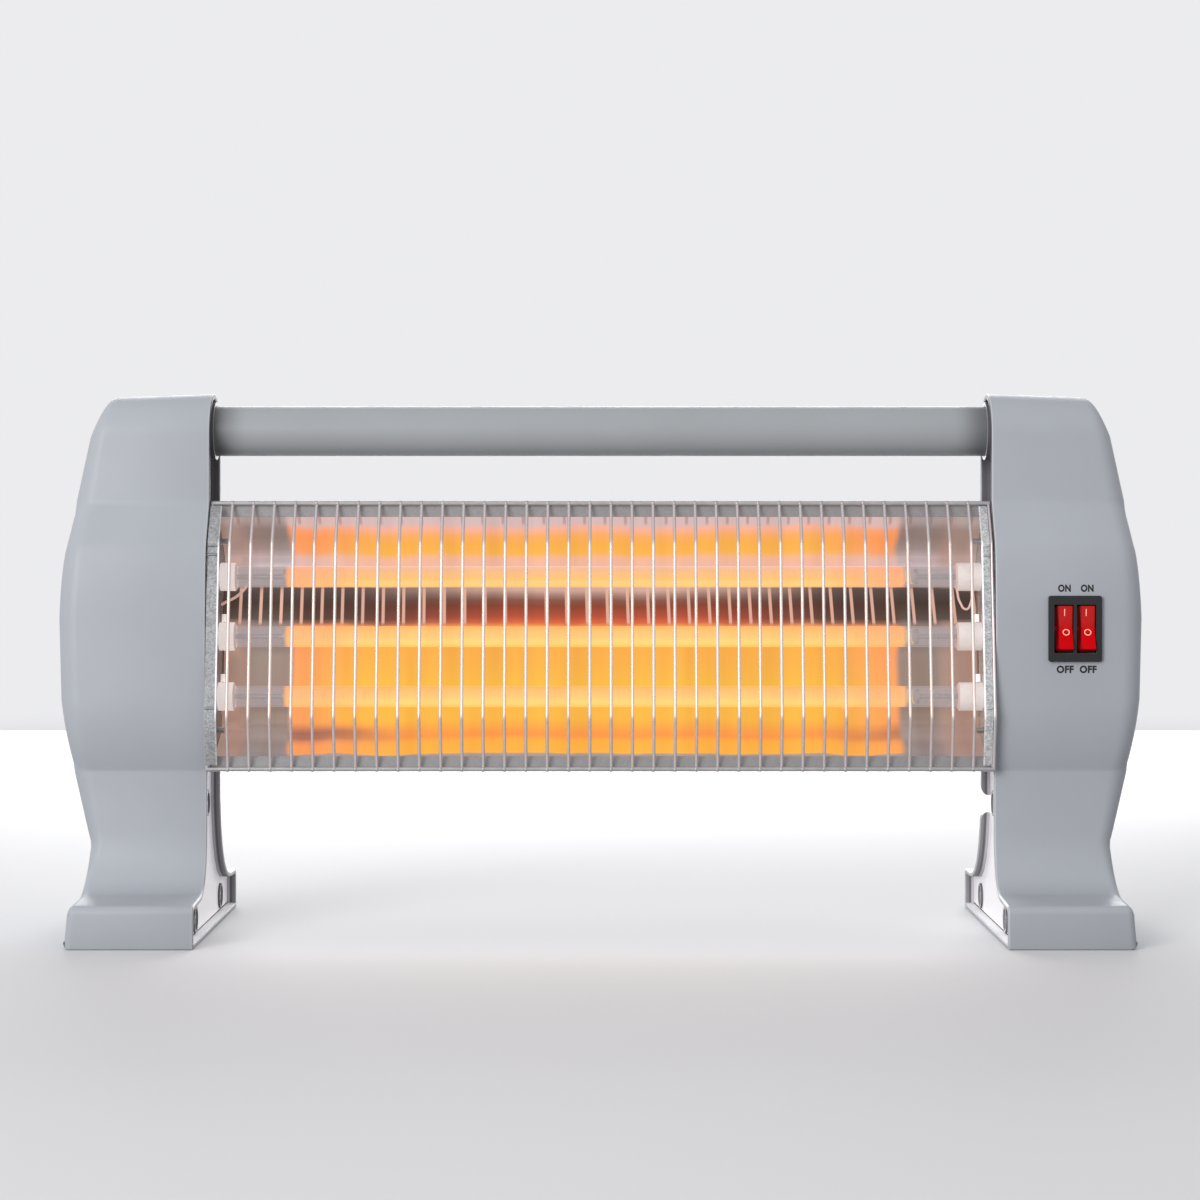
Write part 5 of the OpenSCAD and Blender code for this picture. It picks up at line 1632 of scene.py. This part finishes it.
# ---- solids that keep their shape ----
def dress(material, *names):
    for name in names:
        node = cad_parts[name]
        node.data.materials.clear()
        node.data.materials.append(material)


dress(plainSteel, "handle_screws", "left_housing_screws", "right_housing_screws",
      "left_retaining_clips", "right_retaining_clips", "left_terminal_pins", "right_terminal_pins",
      "terminal_block_screws", "tip_switch_pendulum")
dress(metal("linkSteel", tone(120, 96, 88), 0.35), "left_link_wire", "right_link_wire")
dress(whiteClay, "left_link_beads", "right_link_beads")
dress(plugPlastic, "left_handle_plug", "right_handle_plug")
dress(bladeBrass, "switch_terminals")
dress(blockPlastic, "terminal_block")
dress(tipPlastic, "tip_switch_body")
dress(brownLead, "supply_leads")
dress(whiteLead, "element_leads")
dress(blueLead, "return_lead")

# ---- studio ----
studio = {
    "floorSize": 12,  # metres, as all lengths here
    "near": 0.75,  # the floor's own colour fades into the backdrop from here
    "far": 1.9,
    "paper": (236, 236, 238),
    "bounce": 0.24,  # how much of the paper's light the heater gets back
    "ambient": 0.61,
    "lamps": {  # place, target height, size, power
        "key": ((-1.3, -2.1, 0.55), 0.13, 1.2, 29),
        "high": ((-1.3, -2.0, 1.3), 0.13, 1.2, 8),
        "back": ((0.0, 1.3, 0.5), 0.08, 1.2, 17),
    },
}
paper = tone(*studio["paper"])


# Two shaders mixed into a tree's output
def mixInto(tree, output, share, first, second):
    mix = addNode(tree, "ShaderNodeMixShader", {0: share, 1: first, 2: second})
    tree.links.new(mix.outputs["Shader"], tree.nodes[output].inputs["Surface"])


def floorMaterial():
    material = bpy.data.materials.new("paperFloor")
    material.use_nodes = True
    tree = material.node_tree
    shader = tree.nodes["Principled BSDF"]
    shader.inputs["Roughness"].default_value = 0.8
    shader.inputs["Specular IOR Level"].default_value = 0.1
    rays = addNode(tree, "ShaderNodeLightPath")
    own = addNode(tree, "ShaderNodeMix", {
        0: rays.outputs["Is Diffuse Ray"], 6: (*paper, 1),
        7: (*dim(paper, studio["bounce"]), 1)}, data_type="RGBA")
    tree.links.new(own.outputs[2], shader.inputs["Base Color"])
    glow = addNode(tree, "ShaderNodeEmission", {"Color": (*paper, 1), "Strength": 1.0})
    source = addNode(tree, "ShaderNodeTexCoord")
    reach = addNode(tree, "ShaderNodeVectorMath", {0: source.outputs["Object"]},
                    operation="LENGTH")
    fade = addNode(tree, "ShaderNodeMapRange", {
        "Value": reach.outputs["Value"], "From Min": studio["near"], "From Max": studio["far"]},
        interpolation_type="SMOOTHSTEP")
    mixInto(tree, "Material Output", fade.outputs["Result"], shader.outputs["BSDF"],
            glow.outputs["Emission"])
    return material


# Pale backdrop for what is seen or mirrored, softer light for the rest
def backdropWorld():
    world = bpy.data.worlds.new("studio")
    scene.world = world
    world.use_nodes = True
    tree = world.node_tree
    lit = tree.nodes["Background"]
    lit.inputs["Color"].default_value = (*paper, 1)
    lit.inputs["Strength"].default_value = studio["ambient"]
    seen = addNode(tree, "ShaderNodeBackground", {"Color": (*paper, 1), "Strength": 1.0})
    rays = addNode(tree, "ShaderNodeLightPath").outputs
    shown = calc(tree, "MAXIMUM", rays["Is Camera Ray"], rays["Is Glossy Ray"])
    shown = calc(tree, "MAXIMUM", shown, rays["Is Transmission Ray"])
    mixInto(tree, "World Output", shown, lit.outputs["Background"], seen.outputs["Background"])


def areaLamp(name, place, targetHeight, size, power):
    lamp = bpy.data.lights.new(name, "AREA")
    lamp.shape = "SQUARE"
    lamp.size = size
    lamp.energy = power
    piece = putOut(name, lamp)
    piece.location = place
    aim = Vector((0, 0, targetHeight)) - Vector(place)
    piece.rotation_euler = aim.to_track_quat("-Z", "Y").to_euler()


half = studio["floorSize"] / 2
corners = [(-half, -half, 0), (half, -half, 0), (half, half, 0), (-half, half, 0)]
floorMesh = bpy.data.meshes.new("floor")
floorMesh.from_pydata(corners, [], [(0, 1, 2, 3)])
putOut("floor", floorMesh, floorMaterial())
backdropWorld()
for name, settings in studio["lamps"].items():
    areaLamp(name, *settings)
print("studio: floor, backdrop and", len(studio["lamps"]), "lamps")
